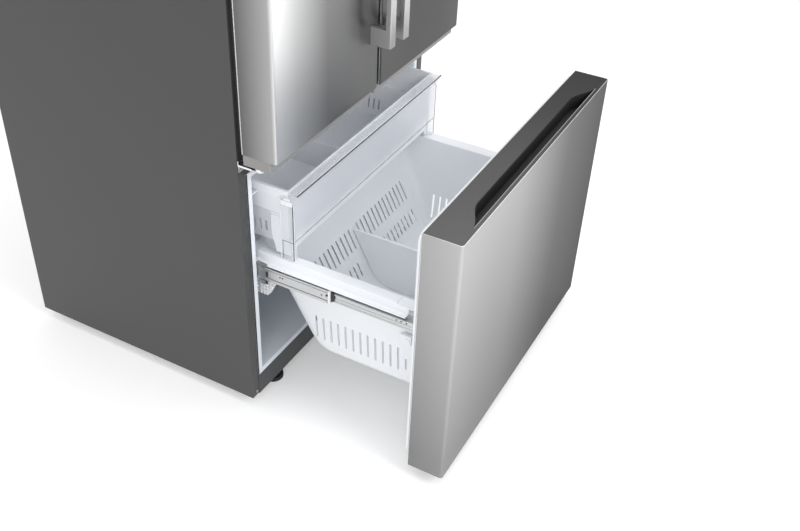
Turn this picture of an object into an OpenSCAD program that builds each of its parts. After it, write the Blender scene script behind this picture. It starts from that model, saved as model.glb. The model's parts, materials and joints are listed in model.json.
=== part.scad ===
// Bottom freezer refrigerator with two doors above a deep freezer drawer.
// The drawer stands pulled out, the tray above it is part way out and the doors are shut.
// Millimetres, +Z up, -Y to the front, origin on the floor under the middle of the whole outline.

/* [Cabinet] */
// Width over the cabinet sides and the drawer front
case_w = 908; // [890:1:920]
// Depth of the cabinet behind its front flange
case_d = 745; // [735:1:780]
// Height of the cabinet top above the floor
case_top = 1745; // [1720:5:1800]
// Height of the underside above the floor
case_lift = 33; // [31:1:36]
// Thickness of a side wall from the shell to the liner face
side_wall = 49; // [47:1:53]
// Height of the dark kick strip under the freezer
kick_h = 61; // [58:1:66]
// Height of the freezer trim frame
frame_h = 627; // [620:1:632]
// Width of the steel flange on the cabinet front
flange_w = 28; // [26:1:30]
// Thickness of the floor between the two compartments
divider_t = 89; // [84:1:96]
// Thickness of the foam in the top wall
top_wall = 50; // [45:1:56]

/* [Doors] */
// Distance from the cabinet flange to the door and drawer fronts
front_reach = 107; // [105:1:112]
// Thickness of a door
door_t = 92; // [90:1:94]
// Gap between the two doors
door_gap = 8.4; // [7:0.1:10]
// Gap between the drawer top and the door bottom
door_lift = 19; // [17:1:22]
// Rise of the door tops over the cabinet top
door_rise = 22; // [20:1:24]
// Height of the recessed cap under a door
door_cap_h = 27; // [24:1:30]
// Distance from a handle's upper end to the top of the door's skin
handle_in = 110; // [60:5:240]
// Width of a handle bar
handle_w = 26; // [22:1:28]
// How far a handle stands off its door
handle_reach = 55; // [48:1:60]

/* [Freezer drawer] */
// Height of the drawer front
drawer_h = 708; // [704:1:712]
// Height of the drawer front's lower edge above the floor
drawer_lift = 40; // [38:1:44]
// Thickness of the drawer front
drawer_t = 95; // [93:1:97]
// How far the drawer stands out
drawer_out = 458; // [440:1:464]
// Depth of the finger pocket in the drawer top
pocket_depth = 38; // [30:1:42]

/* [Basket and tray] */
// Height of the basket rim above the floor
rim_z = 470; // [468:1:474]
// Depth of the basket below its rim
basket_h = 303; // [297:1:306]
// Room beside the basket for the slides, from the liner to the inside of the basket
basket_side = 58; // [56:1:63]
// Wall of the basket and of the tray
basket_wall = 3; // [2.6:0.1:3.4]
// Number of slots in each side of the basket
side_slots = 13; // [9:1:13]
// Room beside the tray, from the liner to the tray's rim
tray_side = 34; // [31:1:39]
// Height of the tray rim above the floor
tray_top = 670; // [666:1:674]
// Height of the tray below its rim
tray_h = 176; // [170:1:182]

/* [Hidden] */
$fn = 48;

// Overrun of every cut, the gap at a seat, and the seam between foam blocks
cut = 2;
seat = 0.3;
seam = 0.4;
// Steel sheet, moulded liner and running clearance of a pin
sheet = 1;
liner_t = 2;
pin_fit = 0.06;
foam_front = 3;

// Main planes of the cabinet, measured from the front flange
half_w = case_w / 2;
open_half = half_w - side_wall;
basket_half = open_half - basket_side;
tray_half = open_half - tray_side;
liner_half = open_half + liner_t;
foam_half = half_w - sheet;
total_d = case_d + front_reach + drawer_out;
case_y = front_reach + drawer_out - total_d / 2;
back_y = case_d - sheet;
rear_foam = 103;
cave_d = case_d - rear_foam - liner_t;
frame_z0 = case_lift + kick_h;
frame_z1 = frame_z0 + frame_h;
frame_band = 15;
fz_z0 = frame_z0 + frame_band;
fz_z1 = frame_z1 - frame_band;
ff_z0 = fz_z1 + divider_t;
ff_z1 = case_top - top_wall;
trim_half = half_w - flange_w;

// Slope of the freezer's rear floor and the machine room under it
slope_in = 419;
slope_y0 = case_d - slope_in;
hump_h = 256;
hump_z = fz_z0 + hump_h;
slope_share = 0.54;
hump_y = slope_y0 + (hump_z - fz_z0) * slope_share;
hump_foam = 55;
room_foam = 45;
room_top = hump_z - liner_t - room_foam;
base_z = case_lift + sheet;
function slope_y(z) = slope_y0 + (z - fz_z0) * slope_share;
function room_y(z) = slope_y(z) + hump_foam;

// Places of the fronts
face_y = -front_reach;
door_back = face_y + door_t;
drawer_back = face_y + drawer_t;
drawer_z1 = drawer_lift + drawer_h;
door_z0 = drawer_z1 + door_lift;
door_skin_z0 = door_z0 + door_cap_h;
door_z1 = case_top + door_rise;
door_top_cap_h = 17;
door_skin_z1 = door_z1 - door_top_cap_h;
door_edge = door_gap / 2;
skin_r = 8;

// Hinge pins of the doors
pin_r = 4;
pin_in = 8;
pin_set = 38;
pin_x = half_w - pin_in;
pin_y = door_back - pin_set;

// Slide members of the drawer
slide_drop = 40;
slide_z = rim_z - slide_drop;
slide_t = 1.6;
mid_half = 19;
drawer_member_half = 13;
member_front = 24;
member_set = 32;
duct_set = 80;
duct_y = cave_d - duct_set;
slide_room = 98;
cab_member_front = 8;
cab_member_l = duct_y - slide_room;
member_l = cab_member_l - member_set;
mid_out = drawer_out / 2;
tray_share = 0.318;
tray_out = drawer_out * tray_share;

module in_case() translate([0, case_y, 0]) children();
module in_drawer() translate([0, case_y - drawer_out, 0]) children();
module in_mid() translate([0, case_y - mid_out, 0]) children();
module in_tray() translate([0, case_y - tray_out, 0]) children();
module both_sides() {
    children();
    mirror([1, 0, 0]) children();
}
// Block between two corners
module span(a, b) translate(a) cube(b - a);
// Profile in Y and Z swept along X, profile in X and Z swept along Y
module prism_x(x0, x1, pts) translate([x0, 0, 0]) rotate([90, 0, 90]) linear_extrude(x1 - x0) polygon(pts);
module prism_y(y0, y1, pts) translate([0, y1, 0]) rotate([90, 0, 0]) linear_extrude(y1 - y0) polygon(pts);
module rod_x(x0, x1, y, z, r) translate([x0, y, z]) rotate([0, 90, 0]) cylinder(r = r, h = x1 - x0);
module rod_y(y0, y1, x, z, r) translate([x, y1, z]) rotate([90, 0, 0]) cylinder(r = r, h = y1 - y0);
module rod_z(z0, z1, x, y, r) translate([x, y, z0]) cylinder(r = r, h = z1 - z0);
// Rectangle with round corners between two corners
module round_rect(a, b, r) {
    translate([a.x + r, a.y]) square([b.x - a.x - 2 * r, b.y - a.y]);
    translate([a.x, a.y + r]) square([b.x - a.x, b.y - a.y - 2 * r]);
    for (x = [a.x + r, b.x - r], y = [a.y + r, b.y - r]) translate([x, y]) circle(r);
}
// Rectangle with only its two front corners rounded
module front_round(a, b, r) {
    translate([a.x, a.y + r]) square([b.x - a.x, b.y - a.y - r]);
    translate([a.x + r, a.y]) square([b.x - a.x - 2 * r, b.y - a.y]);
    for (x = [a.x + r, b.x - r]) translate([x, a.y + r]) circle(r);
}
module round_plate(a, b, r, z0, z1) translate([0, 0, z0]) linear_extrude(z1 - z0) round_rect(a, b, r);
// Upright slot with round ends, drawn on its lower end
module slot_2d(w, h) {
    translate([-w / 2, w / 2]) square([w, h - w]);
    for (y = [w / 2, h - w / 2]) translate([0, y]) circle(w / 2, $fn = 16);
}
// Frame in X and Z with round corners, its corners and radius moved in by the inset
module round_frame(a, b, r, inset, band, y0, y1) translate([0, y1, 0]) rotate([90, 0, 0]) linear_extrude(y1 - y0)
    difference() {
        round_rect(a + [inset, inset], b - [inset, inset], r - inset);
        round_rect(a + [inset + band, inset + band], b - [inset + band, inset + band], r - inset - band);
    }

// Cabinet shell: one sheet over both sides and the top, with a flange round the front
module cabinet_wrapper() color("#5c5d5f") in_case() {
    difference() {
        span([-half_w, 0, case_lift], [half_w, case_d, case_top]);
        span([-foam_half, -cut, case_lift - cut], [foam_half, case_d + cut, case_top - sheet]);
    }
    both_sides() span([trim_half, 0, case_lift], [half_w, sheet, case_top]);
    span([-half_w, 0, case_top - flange_w], [half_w, sheet, case_top]);
    both_sides() span([trim_half, 0, frame_z1], [trim_half + sheet, foam_front, case_top - flange_w]);
}

bead_w = 36;
bead_rise = 2;
bead_in = 92;
rear_z0 = room_top;
module rear_panel() color("#8d9092") in_case() {
    span([-foam_half, back_y - bead_rise, rear_z0], [foam_half, case_d - bead_rise, case_top - sheet]);
    for (x = [-half_w / 2, 0, half_w / 2])
        translate([x, case_d, 0]) rotate([90, 0, 0]) linear_extrude(bead_rise)
            round_rect([-bead_w / 2, rear_z0 + bead_in], [bead_w / 2, case_top - bead_in], bead_w / 2 - sheet);
}

// Rollers at the back
roller_r = 16;
roller_w = 20;
roller_side = 54;
roller_x = half_w - roller_side;
roller_in = 55;
roller_y = case_d - roller_in;
axle_r = 3;
ear_t = 2;
ear_w = 24;
ear_drop = 23;
// Levelling legs at the front
leg_side = 132;
leg_x = half_w - leg_side;
leg_y = 27;
leg_foot_r = 28.5;
leg_foot_h = 11;
leg_stud_r = 5;
leg_boss_r = 12;
leg_boss_h = 13;
leg_fit = 0.5;
vent_w = 6;
vent_l = 92;
vent_pitch = 16;
vent_count = 9;
module base_tray() color("#77797b") in_case() {
    yb = back_y - bead_rise;
    z0 = base_z + seat;
    difference() {
        union() {
            span([-foam_half, foam_front, case_lift], [foam_half, yb, base_z]);
            both_sides() {
                for (s = [-1, 1]) translate([roller_x + s * (roller_w / 2 + ear_t), 0, 0])
                    span([-ear_t / 2, roller_y - ear_w / 2, case_lift - ear_drop],
                        [ear_t / 2, roller_y + ear_w / 2, base_z]);
                rod_z(case_lift - leg_boss_h, base_z, leg_x, leg_y, leg_boss_r);
            }
        }
        both_sides() {
            rod_x(roller_x - roller_w - cut, roller_x + roller_w + cut, roller_y, roller_r, axle_r + pin_fit);
            rod_z(case_lift - leg_boss_h - cut, base_z + cut, leg_x, leg_y, leg_stud_r + leg_fit);
        }
        for (i = [0 : vent_count - 1]) translate([-case_w / 3 + i * vent_pitch, case_d - cond_d, 0])
            span([0, 0, case_lift - cut], [vent_w, vent_l, base_z + cut]);
    }
    prism_x(-foam_half, foam_half, [[room_y(z0), z0], [room_y(room_top), room_top], [yb, room_top],
        [yb, room_top - sheet], [room_y(room_top) + sheet, room_top - sheet], [room_y(z0) + sheet, z0]]);
    both_sides() prism_x(foam_half - ear_t, foam_half, [[room_y(z0) + ear_t, z0],
        [room_y(room_top) + ear_t, room_top - sheet - seat], [yb - sheet, room_top - sheet - seat],
        [yb - sheet, z0]]);
}

kick_t = 3;
kick_lip = leg_y - leg_boss_r - sheet;
module kick_strip() color("#3a3b3d") in_case() prism_x(-trim_half + seat, trim_half - seat,
    [[-sheet, case_lift - kick_t], [-sheet, frame_z0], [foam_front, frame_z0], [foam_front, case_lift],
    [kick_lip, case_lift], [kick_lip, case_lift - kick_t]]);

// Foam between shell and liners, foamed in blocks round the two cavities and the machine room
module foam_insulation() color("#e3d9a8") in_case() {
    z0 = base_z + seam;
    zl = fz_z0 - liner_t;
    zh = hump_z - liner_t;
    yb = back_y - bead_rise;
    side_in = liner_half + seam;
    both_sides() {
        span([side_in, foam_front, zh + seam], [foam_half, yb, case_top - sheet]);
        prism_x(side_in, foam_half, [[foam_front, z0], [foam_front, zh], [room_y(zh), zh], [room_y(z0), z0]]);
    }
    prism_x(-liner_half, liner_half, [[foam_front, z0], [foam_front, zl], [slope_y(zl) - seam, zl],
        [slope_y(zl) - seam, z0]]);
    prism_x(-liner_half, liner_half, [[slope_y(zl), z0], [slope_y(zl), zl], [slope_y(zh), zh],
        [room_y(zh) - seam, zh], [room_y(z0) - seam, z0]]);
    prism_x(-foam_half, foam_half, [[room_y(room_top) + seam, room_top], [room_y(zh) + seam, zh], [yb, zh],
        [yb, room_top]]);
    span([-liner_half, cave_d + liner_t + seam, zh + seam], [liner_half, yb, case_top - sheet]);
    span([-liner_half, foam_front, ff_z1 + liner_t], [liner_half, cave_d + liner_t, case_top - sheet]);
    span([-liner_half, foam_front, fz_z1 + liner_t], [liner_half, cave_d + liner_t, ff_z0 - liner_t]);
}

// Inner liner of the fresh food compartment, with a front lip and shelf ledges
lip_h = 15;
lip_z0 = ff_z0 - lip_h;
ledge_t = 8;
ledge_h = 10;
ledge_front = 105;
ledge_set = 70;
ledge_back = cave_d - ledge_set;
pantry_room = 98;
crisper_room = 177;
top_room = 205;
pane_1 = ff_z0 + pantry_room;
pane_2 = pane_1 + crisper_room;
pane_4 = ff_z1 - top_room;
pane_3 = (pane_2 + pane_4) / 2;
pane_z = [pane_1, pane_2, pane_3, pane_4];
pane_drop = 8;
module fresh_food_liner() color("#eef0f1") in_case() {
    difference() {
        union() {
            span([-liner_half, 0, ff_z0 - liner_t], [liner_half, cave_d + liner_t, ff_z1 + liner_t]);
            span([-trim_half + seat, 0, lip_z0], [trim_half - seat, foam_front, case_top - flange_w - seat]);
        }
        span([-open_half, -cut, ff_z0], [open_half, cave_d, ff_z1]);
    }
    both_sides() for (z = pane_z) translate([0, 0, z - pane_drop])
        span([open_half - ledge_t, ledge_front, -ledge_h], [open_half + liner_t / 2, ledge_back, 0]);
}

// Inner liner of the freezer, stepped up at the back over the machine room
runner_drop = 30;
runner_z = tray_top - runner_drop;
runner_h = 12;
runner_t = 27;
module freezer_liner() color("#eef1f3") in_case() {
    difference() {
        prism_x(-liner_half, liner_half, [[0, fz_z0 - liner_t], [slope_y(fz_z0 - liner_t), fz_z0 - liner_t],
            [slope_y(hump_z - liner_t), hump_z - liner_t], [cave_d + liner_t, hump_z - liner_t],
            [cave_d + liner_t, fz_z1 + liner_t], [0, fz_z1 + liner_t]]);
        prism_x(-open_half, open_half, [[-cut, fz_z0], [slope_y(fz_z0) - liner_t, fz_z0],
            [slope_y(hump_z) - liner_t, hump_z], [cave_d, hump_z], [cave_d, fz_z1], [-cut, fz_z1]]);
    }
    both_sides() span([open_half - runner_t, ledge_front - runner_t, runner_z - runner_h],
        [open_half + liner_t / 2, ledge_back - runner_t, runner_z]);
}

module freezer_trim_frame() color("#f2f4f5") in_case() difference() {
    span([-trim_half + seat, -sheet, frame_z0 + seat], [trim_half - seat, foam_front, frame_z1]);
    span([-liner_half, -cut, fz_z0 - liner_t], [liner_half, foam_front + cut, fz_z1 + liner_t]);
}

rail_step = 2.5;
module cross_rail() color("#5c5d5f") in_case() {
    span([-trim_half + seat, 0, frame_z1 + seat], [trim_half - seat, sheet, lip_z0 - seat]);
    for (z = [frame_z1 + seat, lip_z0 - seat - sheet])
        span([-trim_half + seat, 0, z], [trim_half - seat, rail_step, z + sheet]);
}

// Top hinges: a plate on the cabinet top, cranked over the door, with its pin
plate_t = 3;
hinge_in = 70;
hinge_back = 95;
hinge_rise = door_rise + sheet;
cover_t = 2;
hinge_out = half_w - sheet - cover_t - seat;
crank_y = -8;
pin_l = 13;
module top_hinges() color("#a9abad") in_case() both_sides() {
    z1 = case_top + hinge_rise;
    difference() {
        span([half_w - hinge_in, crank_y, case_top], [hinge_out, hinge_back, case_top + plate_t]);
        for (y = [hinge_back / 3, hinge_back * 3 / 4])
            rod_z(case_top - cut, case_top + plate_t + cut, half_w - hinge_in / 2, y, screw_r + pin_fit);
    }
    span([half_w - hinge_in, crank_y, case_top], [hinge_out, crank_y + plate_t, z1 + plate_t]);
    span([pin_x - 4 * pin_r, pin_y - 2 * pin_r, z1], [hinge_out, crank_y + plate_t, z1 + plate_t]);
    rod_z(z1 - pin_l, z1 + plate_t, pin_x, pin_y, pin_r);
}

cover_in = 108;
cover_back = 118;
cover_top = 33;
cover_r = 14;
module top_hinge_covers() color("#47484a") in_case() both_sides() difference() {
    x0 = half_w - cover_in;
    x1 = half_w - sheet;
    top = case_top + cover_top;
    union() {
        round_plate([x0, face_y + cover_r], [x1, cover_back], cover_r, case_top + hinge_rise - sheet / 2, top);
        round_plate([x0, crank_y - cover_t - seat], [x1, cover_back], cover_t, case_top, top - cover_t);
    }
    span([x0 + cover_t, crank_y - seat, case_top - cut],
        [x1 - cover_t, cover_back - cover_t, top - cover_t]);
    span([x0 + cover_t, face_y + cover_r + cover_t, case_top + hinge_rise - cut],
        [x1 - cover_t, cover_back - cover_t, top - cover_t]);
}

// Middle hinges: a leg on the flange, a shelf plate under the door cap and the pin
mid_plate_t = 4;
mid_gap = 6;
mid_z = door_z0 - mid_gap;
mid_in = 30;
mid_leg_h = 20;
mid_pin_l = 22;
module middle_hinges() color("#b4b6b8") in_case() both_sides() {
    difference() {
        span([half_w - mid_in, -ear_t, mid_z - mid_leg_h], [half_w - ear_t, 0, mid_z]);
        for (x = [mid_in / 4, mid_in * 3 / 4])
            rod_y(-ear_t - cut, cut, half_w - x, mid_z - mid_leg_h / 2, screw_r + pin_fit);
    }
    span([half_w - mid_in, pin_y, mid_z - mid_plate_t], [half_w - ear_t, 0, mid_z]);
    rod_z(mid_z - mid_plate_t, mid_z, half_w - mid_in / 2 - ear_t / 2, pin_y, mid_in / 2 - ear_t / 2);
    rod_z(mid_z - mid_plate_t, mid_z + mid_pin_l, pin_x, pin_y, pin_r);
    rod_z(mid_z, door_z0 - seat, pin_x, pin_y, pin_r + ear_t);
}

// Screws with a round head and a cross recess
screw_r = 2.2;
head_r = 4;
head_h = 1.8;
cross_w = 0.9;
cross_d = 1;
module screw(shank_l) difference() {
    union() {
        rod_y(-head_h, 0, 0, 0, head_r);
        if (shank_l > 0) rod_y(-head_h, shank_l, 0, 0, screw_r);
    }
    for (a = [0, 90]) rotate([0, a, 0])
        span([-head_r * 0.7, -head_h - cut, -cross_w / 2], [head_r * 0.7, -head_h + cross_d, cross_w / 2]);
}
flange_screw_in = 18;
flange_screw_up = 13;
cover_screw_in = 26;
module cabinet_screws() color("#c4c6c8") in_case() {
    both_sides() {
        translate([half_w - flange_screw_in, 0, case_lift + flange_screw_up]) screw(0);
        for (x = [mid_in / 4, mid_in * 3 / 4])
            translate([half_w - x, -ear_t, mid_z - mid_leg_h / 2]) screw(ear_t);
        for (y = [hinge_back / 3, hinge_back * 3 / 4])
            translate([half_w - hinge_in / 2, y, case_top + plate_t]) rotate([-90, 0, 0]) screw(plate_t);
        for (z = [case_lift + cover_screw_in, room_top - cover_screw_in])
            translate([foam_half - cover_screw_in, case_d - bead_rise, z]) rotate([0, 0, 180]) screw(0);
    }
}

// Shelves of the fresh food compartment
shelf_front = 112;
shelf_set = 80;
shelf_back = cave_d - shelf_set;
shelf_gap = 1;
shelf_half = open_half - ledge_t - shelf_gap;
glass_t = 4;
rim_w = 16;
module shelf_glass() color("#cfe3e6") in_case() for (z = pane_z)
    span([-shelf_half + rim_w / 2, shelf_front + rim_w / 2, z], [shelf_half - rim_w / 2, shelf_back - rim_w / 2,
        z + glass_t]);
module shelf_frames() color("#e4e6e8") in_case() for (z = pane_z) difference() {
    union() {
        span([-shelf_half, shelf_front, z - ear_t], [shelf_half, shelf_back, z + glass_t + ear_t]);
        both_sides() span([shelf_half - rim_w, shelf_front, z - pane_drop + seat],
            [open_half - seat, shelf_back, z]);
    }
    span([-shelf_half + rim_w / 2 - seat, shelf_front + rim_w / 2 - seat, z - seat],
        [shelf_half - rim_w / 2 + seat, shelf_back - rim_w / 2 + seat, z + glass_t + seat]);
    span([-shelf_half + rim_w, shelf_front + rim_w, z - pane_drop - cut],
        [shelf_half - rim_w, shelf_back - rim_w, z + glass_t + ear_t + cut]);
}

// Storage boxes: an open box with a rolled front grip
box_wall = 2.5;
box_draft = 6;
grip_d = 14;
module storage_box(x0, x1, y0, y1, z0, z1) {
    difference() {
        union() {
            prism_y(y0, y1, [[x0 + box_draft, z0], [x1 - box_draft, z0], [x1, z1], [x0, z1]]);
            span([x0, y0 - grip_d, z1 - grip_d], [x1, y0, z1]);
        }
        prism_y(y0 + box_wall, y1 - box_wall, [[x0 + box_draft + box_wall, z0 + box_wall],
            [x1 - box_draft - box_wall, z0 + box_wall], [x1 - box_wall, z1 + box_wall],
            [x0 + box_wall, z1 + box_wall]]);
        span([x0 + box_wall, y0 - grip_d + box_wall, z1 - grip_d - cut], [x1 - box_wall, y0 - box_wall,
            z1 - box_wall]);
    }
}
crisper_gap = 4;
crisper_set = 2;
crisper_front = shelf_front + grip_d + crisper_set;
crisper_back = shelf_back - crisper_set * 10;
crisper_z0 = pane_1 + glass_t + ear_t + seat;
crisper_z1 = pane_2 - pane_drop - ledge_h - crisper_gap;
crisper_half = shelf_half - crisper_set;
pantry_z0 = ff_z0 + seat;
pantry_z1 = pane_1 - pane_drop - ledge_h - crisper_gap;
module crisper_left() color("#d5dde1") in_case()
    storage_box(-crisper_half, -crisper_gap, crisper_front, crisper_back, crisper_z0, crisper_z1);
module crisper_right() color("#d5dde1") in_case() mirror([1, 0, 0])
    storage_box(-crisper_half, -crisper_gap, crisper_front, crisper_back, crisper_z0, crisper_z1);
module pantry_drawer() color("#d5dde1") in_case()
    storage_box(-crisper_half, crisper_half, crisper_front, crisper_back, pantry_z0, pantry_z1);

// Lamp, air duct and control panel
lamp_half = 182;
lamp_y0 = 70;
lamp_y1 = 200;
lamp_t = 12;
lamp_r = 16;
module lamp_lens() color("#f7f7f2") in_case() {
    round_plate([-lamp_half, lamp_y0], [lamp_half, lamp_y1], lamp_r, ff_z1 - lamp_t / 2, ff_z1);
    round_plate([-lamp_half + lamp_t, lamp_y0 + lamp_t], [lamp_half - lamp_t, lamp_y1 - lamp_t], lamp_r,
        ff_z1 - lamp_t, ff_z1);
}
duct_half = 130;
duct_t = 38;
duct_r = 18;
duct_lift = 40;
duct_z0 = pane_2 + duct_lift;
duct_slot_w = 92;
duct_slot_h = 9;
duct_slot_pitch = 24;
module air_duct_panel() color("#e6e9eb") in_case() difference() {
    prism_y(cave_d - duct_t, cave_d, [[-duct_half, duct_z0], [duct_half, duct_z0], [duct_half, ff_z1 - duct_r],
        [duct_half - duct_r, ff_z1], [-duct_half + duct_r, ff_z1], [-duct_half, ff_z1 - duct_r]]);
    for (z = [pane_3 + duct_slot_w, pane_4 + duct_slot_w], k = [0 : 2])
        translate([0, cave_d - duct_t, z + k * duct_slot_pitch])
            span([-duct_slot_w / 2, -cut, 0], [duct_slot_w / 2, duct_t / 2, duct_slot_h]);
}
panel_half = 120;
panel_y0 = 16;
panel_y1 = 58;
panel_t = 11;
key_r = 6;
key_t = 0.8;
module control_panel() color("#2e3033") in_case() difference() {
    round_plate([-panel_half, panel_y0], [panel_half, panel_y1], key_r, ff_z1 - panel_t, ff_z1);
    for (i = [-2 : 2]) rod_z(ff_z1 - panel_t - cut, ff_z1 - panel_t + key_t, i * panel_half / 3,
        (panel_y0 + panel_y1) / 2, key_r);
}

// Freezer duct panel with its grille, fan opening, motor and shaft
duct_wall = 3;
fan_drop = 94;
fan_z = fz_z1 - fan_drop;
fan_r = 58;
fan_gap = 4;
motor_r = 17;
motor_l = 13;
arm_w = 8;
arm_t = 4;
shaft_r = 2.5;
fan_set = 6;
fan_y0 = duct_y + duct_wall + fan_set;
fan_depth = 20;
motor_gap = 2;
motor_y = fan_y0 + fan_depth + motor_gap;
grille_w = 5;
grille_h = 70;
grille_pitch = 18;
grille_count = 8;
module freezer_duct_panel() color("#e9edf0") in_case() {
    difference() {
        span([-open_half + seat, duct_y, hump_z + seat], [open_half - seat, duct_y + duct_wall, fz_z1 - seat]);
        rod_y(duct_y - cut, duct_y + duct_wall + cut, 0, fan_z, fan_r + fan_gap);
        both_sides() translate([0, duct_y + duct_wall + cut, 0]) rotate([90, 0, 0])
            linear_extrude(duct_wall + 2 * cut) for (i = [0 : grille_count - 1])
                translate([fan_r * 2 + i * grille_pitch, hump_z + grille_h / 2]) slot_2d(grille_w, grille_h);
    }
    for (a = [90, 210, 330]) translate([0, 0, fan_z]) rotate([0, a, 0]) {
        span([0, motor_y, -arm_w / 2], [fan_r + 3 * fan_gap, motor_y + arm_t, arm_w / 2]);
        span([fan_r + 1.5 * fan_gap, duct_y + duct_wall, -arm_w / 2],
            [fan_r + 3 * fan_gap, motor_y + arm_t, arm_w / 2]);
    }
    rod_y(motor_y, motor_y + motor_l, 0, fan_z, motor_r);
    rod_y(fan_y0 + arm_t, motor_y, 0, fan_z, shaft_r);
}

// Fan: a hub with tilted blades inside a ring of air
module fan(r, hub_r, depth, blades, bore) difference() {
    union() {
        rod_y(0, depth, 0, 0, hub_r);
        intersection() {
            for (i = [0 : blades - 1]) rotate([0, i * 360 / blades, 0]) translate([0, depth / 2, 0])
                rotate([blade_tilt, 0, 0]) span([hub_r / 2, -depth, -blade_t / 2], [r + cut, depth, blade_t / 2]);
            rod_y(sheet, depth - sheet, 0, 0, r);
        }
    }
    rod_y(-cut, depth + cut, 0, 0, bore);
}
blade_tilt = 52;
blade_t = 1.8;
hub_share = 0.32;
module evaporator_fan() color("#cfd3d6") in_case() translate([0, fan_y0, fan_z])
    fan(fan_r, fan_r * hub_share, fan_depth, 5, shaft_r + pin_fit);

// Serpentine coil pressed through a pack of fins, its bends brazed on in short sleeves
coil_r = 4;
fin_sheet = 1.2;
sleeve_t = 0.8;
sleeve_l = 2.5;
module finned_coil(x0, x1, y0, rows, cols, pitch, z0, fin_count, fin_t) {
    over = pitch / 2;
    for (i = [0 : fin_count - 1]) translate([x0 + (x1 - x0) * i / (fin_count - 1) - fin_t / 2, 0, 0])
        rotate([90, 0, 90]) linear_extrude(fin_t) difference() {
            translate([y0 - over, z0 - over]) square([cols * pitch, rows * pitch]);
            for (c = [0 : cols - 1], r = [0 : rows - 1])
                translate([y0 + c * pitch, z0 + r * pitch]) circle(coil_r + seat / 3);
        }
    for (c = [0 : cols - 1], r = [0 : rows - 1]) translate([0, y0 + c * pitch, z0 + r * pitch]) {
        rod_x(x0 - over, x1 + over, 0, 0, coil_r);
        rod_x(x0 - over - sleeve_l, x0 - over + sleeve_l, 0, 0, coil_r + sleeve_t);
        rod_x(x1 + over - sleeve_l, x1 + over + sleeve_l, 0, 0, coil_r + sleeve_t);
        if (r < rows - 1) translate([r % 2 == 0 ? x1 + over : x0 - over, 0, pitch / 2])
            rotate([90, 0, 0]) rotate([0, 0, r % 2 == 0 ? -90 : 90])
                rotate_extrude(angle = 180) translate([pitch / 2, 0]) circle(coil_r);
    }
}
evap_side = 105;
evap_half = open_half - evap_side;
evap_pitch = 32;
evap_lift = 28;
evap_z = hump_z + evap_lift;
module evaporator_coil() color("#b9bdc0") in_case() {
    finned_coil(-evap_half, evap_half, cave_d - evap_pitch / 2 - seat, 8, 1, evap_pitch, evap_z, 17, fin_sheet);
}
cond_d = 225;
cond_side = 59;
cond_x0 = cond_side - half_w;
cond_x1 = -165;
cond_pitch = 40;
cond_set = 46;
cond_lift = 62;
cond_y = case_d - cond_d + cond_set;
cond_z = base_z + cond_lift;
module condenser_coil() color("#4a4c4e") in_case() {
    finned_coil(cond_x0, cond_x1, cond_y, 5, 3, cond_pitch, cond_z, 13, fin_sheet);
    for (x = [cond_x0, cond_x1]) span([x - coil_r, cond_y + cond_pitch / 2, base_z],
        [x + coil_r, cond_y + cond_pitch * 1.5, cond_z - cond_pitch / 2 + fin_sheet]);
}

// Compressor: welded shell, foot plate on rubber bushes, terminal box and pipes
comp_side = 264;
comp_x = half_w - comp_side;
comp_in = 122;
comp_y = case_d - comp_in;
comp_r = 84;
comp_h = 190;
comp_lift = 16;
dome_steps = 8;
foot_half = 96;
foot_t = 3;
bush_r = 11;
dome_share = 0.42;
box_out = 34;
box_half = 32;
pipe_x = 30;
pipe_y = 10;
pipe_sink = 12;
pipe_rise = 16;
comp_z = base_z + comp_lift;
function dome(a) = [comp_r * cos(a), comp_r * dome_share * sin(a)];
module compressor() color("#232426") in_case() translate([comp_x, comp_y, 0]) {
    translate([0, 0, comp_z + comp_r * dome_share]) rotate_extrude() polygon(concat([[0, -comp_r * dome_share]],
        [for (i = [1 : dome_steps]) let (p = dome(90 - i * 90 / dome_steps)) [p.x, -p.y]],
        [for (i = [0 : dome_steps - 1]) let (p = dome(i * 90 / dome_steps))
            [p.x, p.y + comp_h - 2 * comp_r * dome_share]],
        [[0, comp_h - comp_r * dome_share]]));
    rod_z(comp_z + comp_h / 2 - foot_t, comp_z + comp_h / 2 + foot_t, 0, 0, comp_r + foot_t);
    round_plate([-foot_half, -foot_half * 0.8], [foot_half, foot_half * 0.8], bush_r, comp_z, comp_z + foot_t);
    for (x = [-1, 1], y = [-1, 1]) rod_z(base_z, comp_z, x * (foot_half - bush_r),
        y * (foot_half * 0.8 - bush_r), bush_r - ear_t);
    span([-comp_r - box_out, -box_half, comp_z + comp_h * 0.3],
        [-comp_r * 0.8, box_half, comp_z + comp_h * 0.7]);
    for (s = [-1, 1])
        rod_z(comp_z + comp_h - pipe_sink, comp_z + comp_h + pipe_rise, s * pipe_x, s * pipe_y, coil_r);
}

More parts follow.
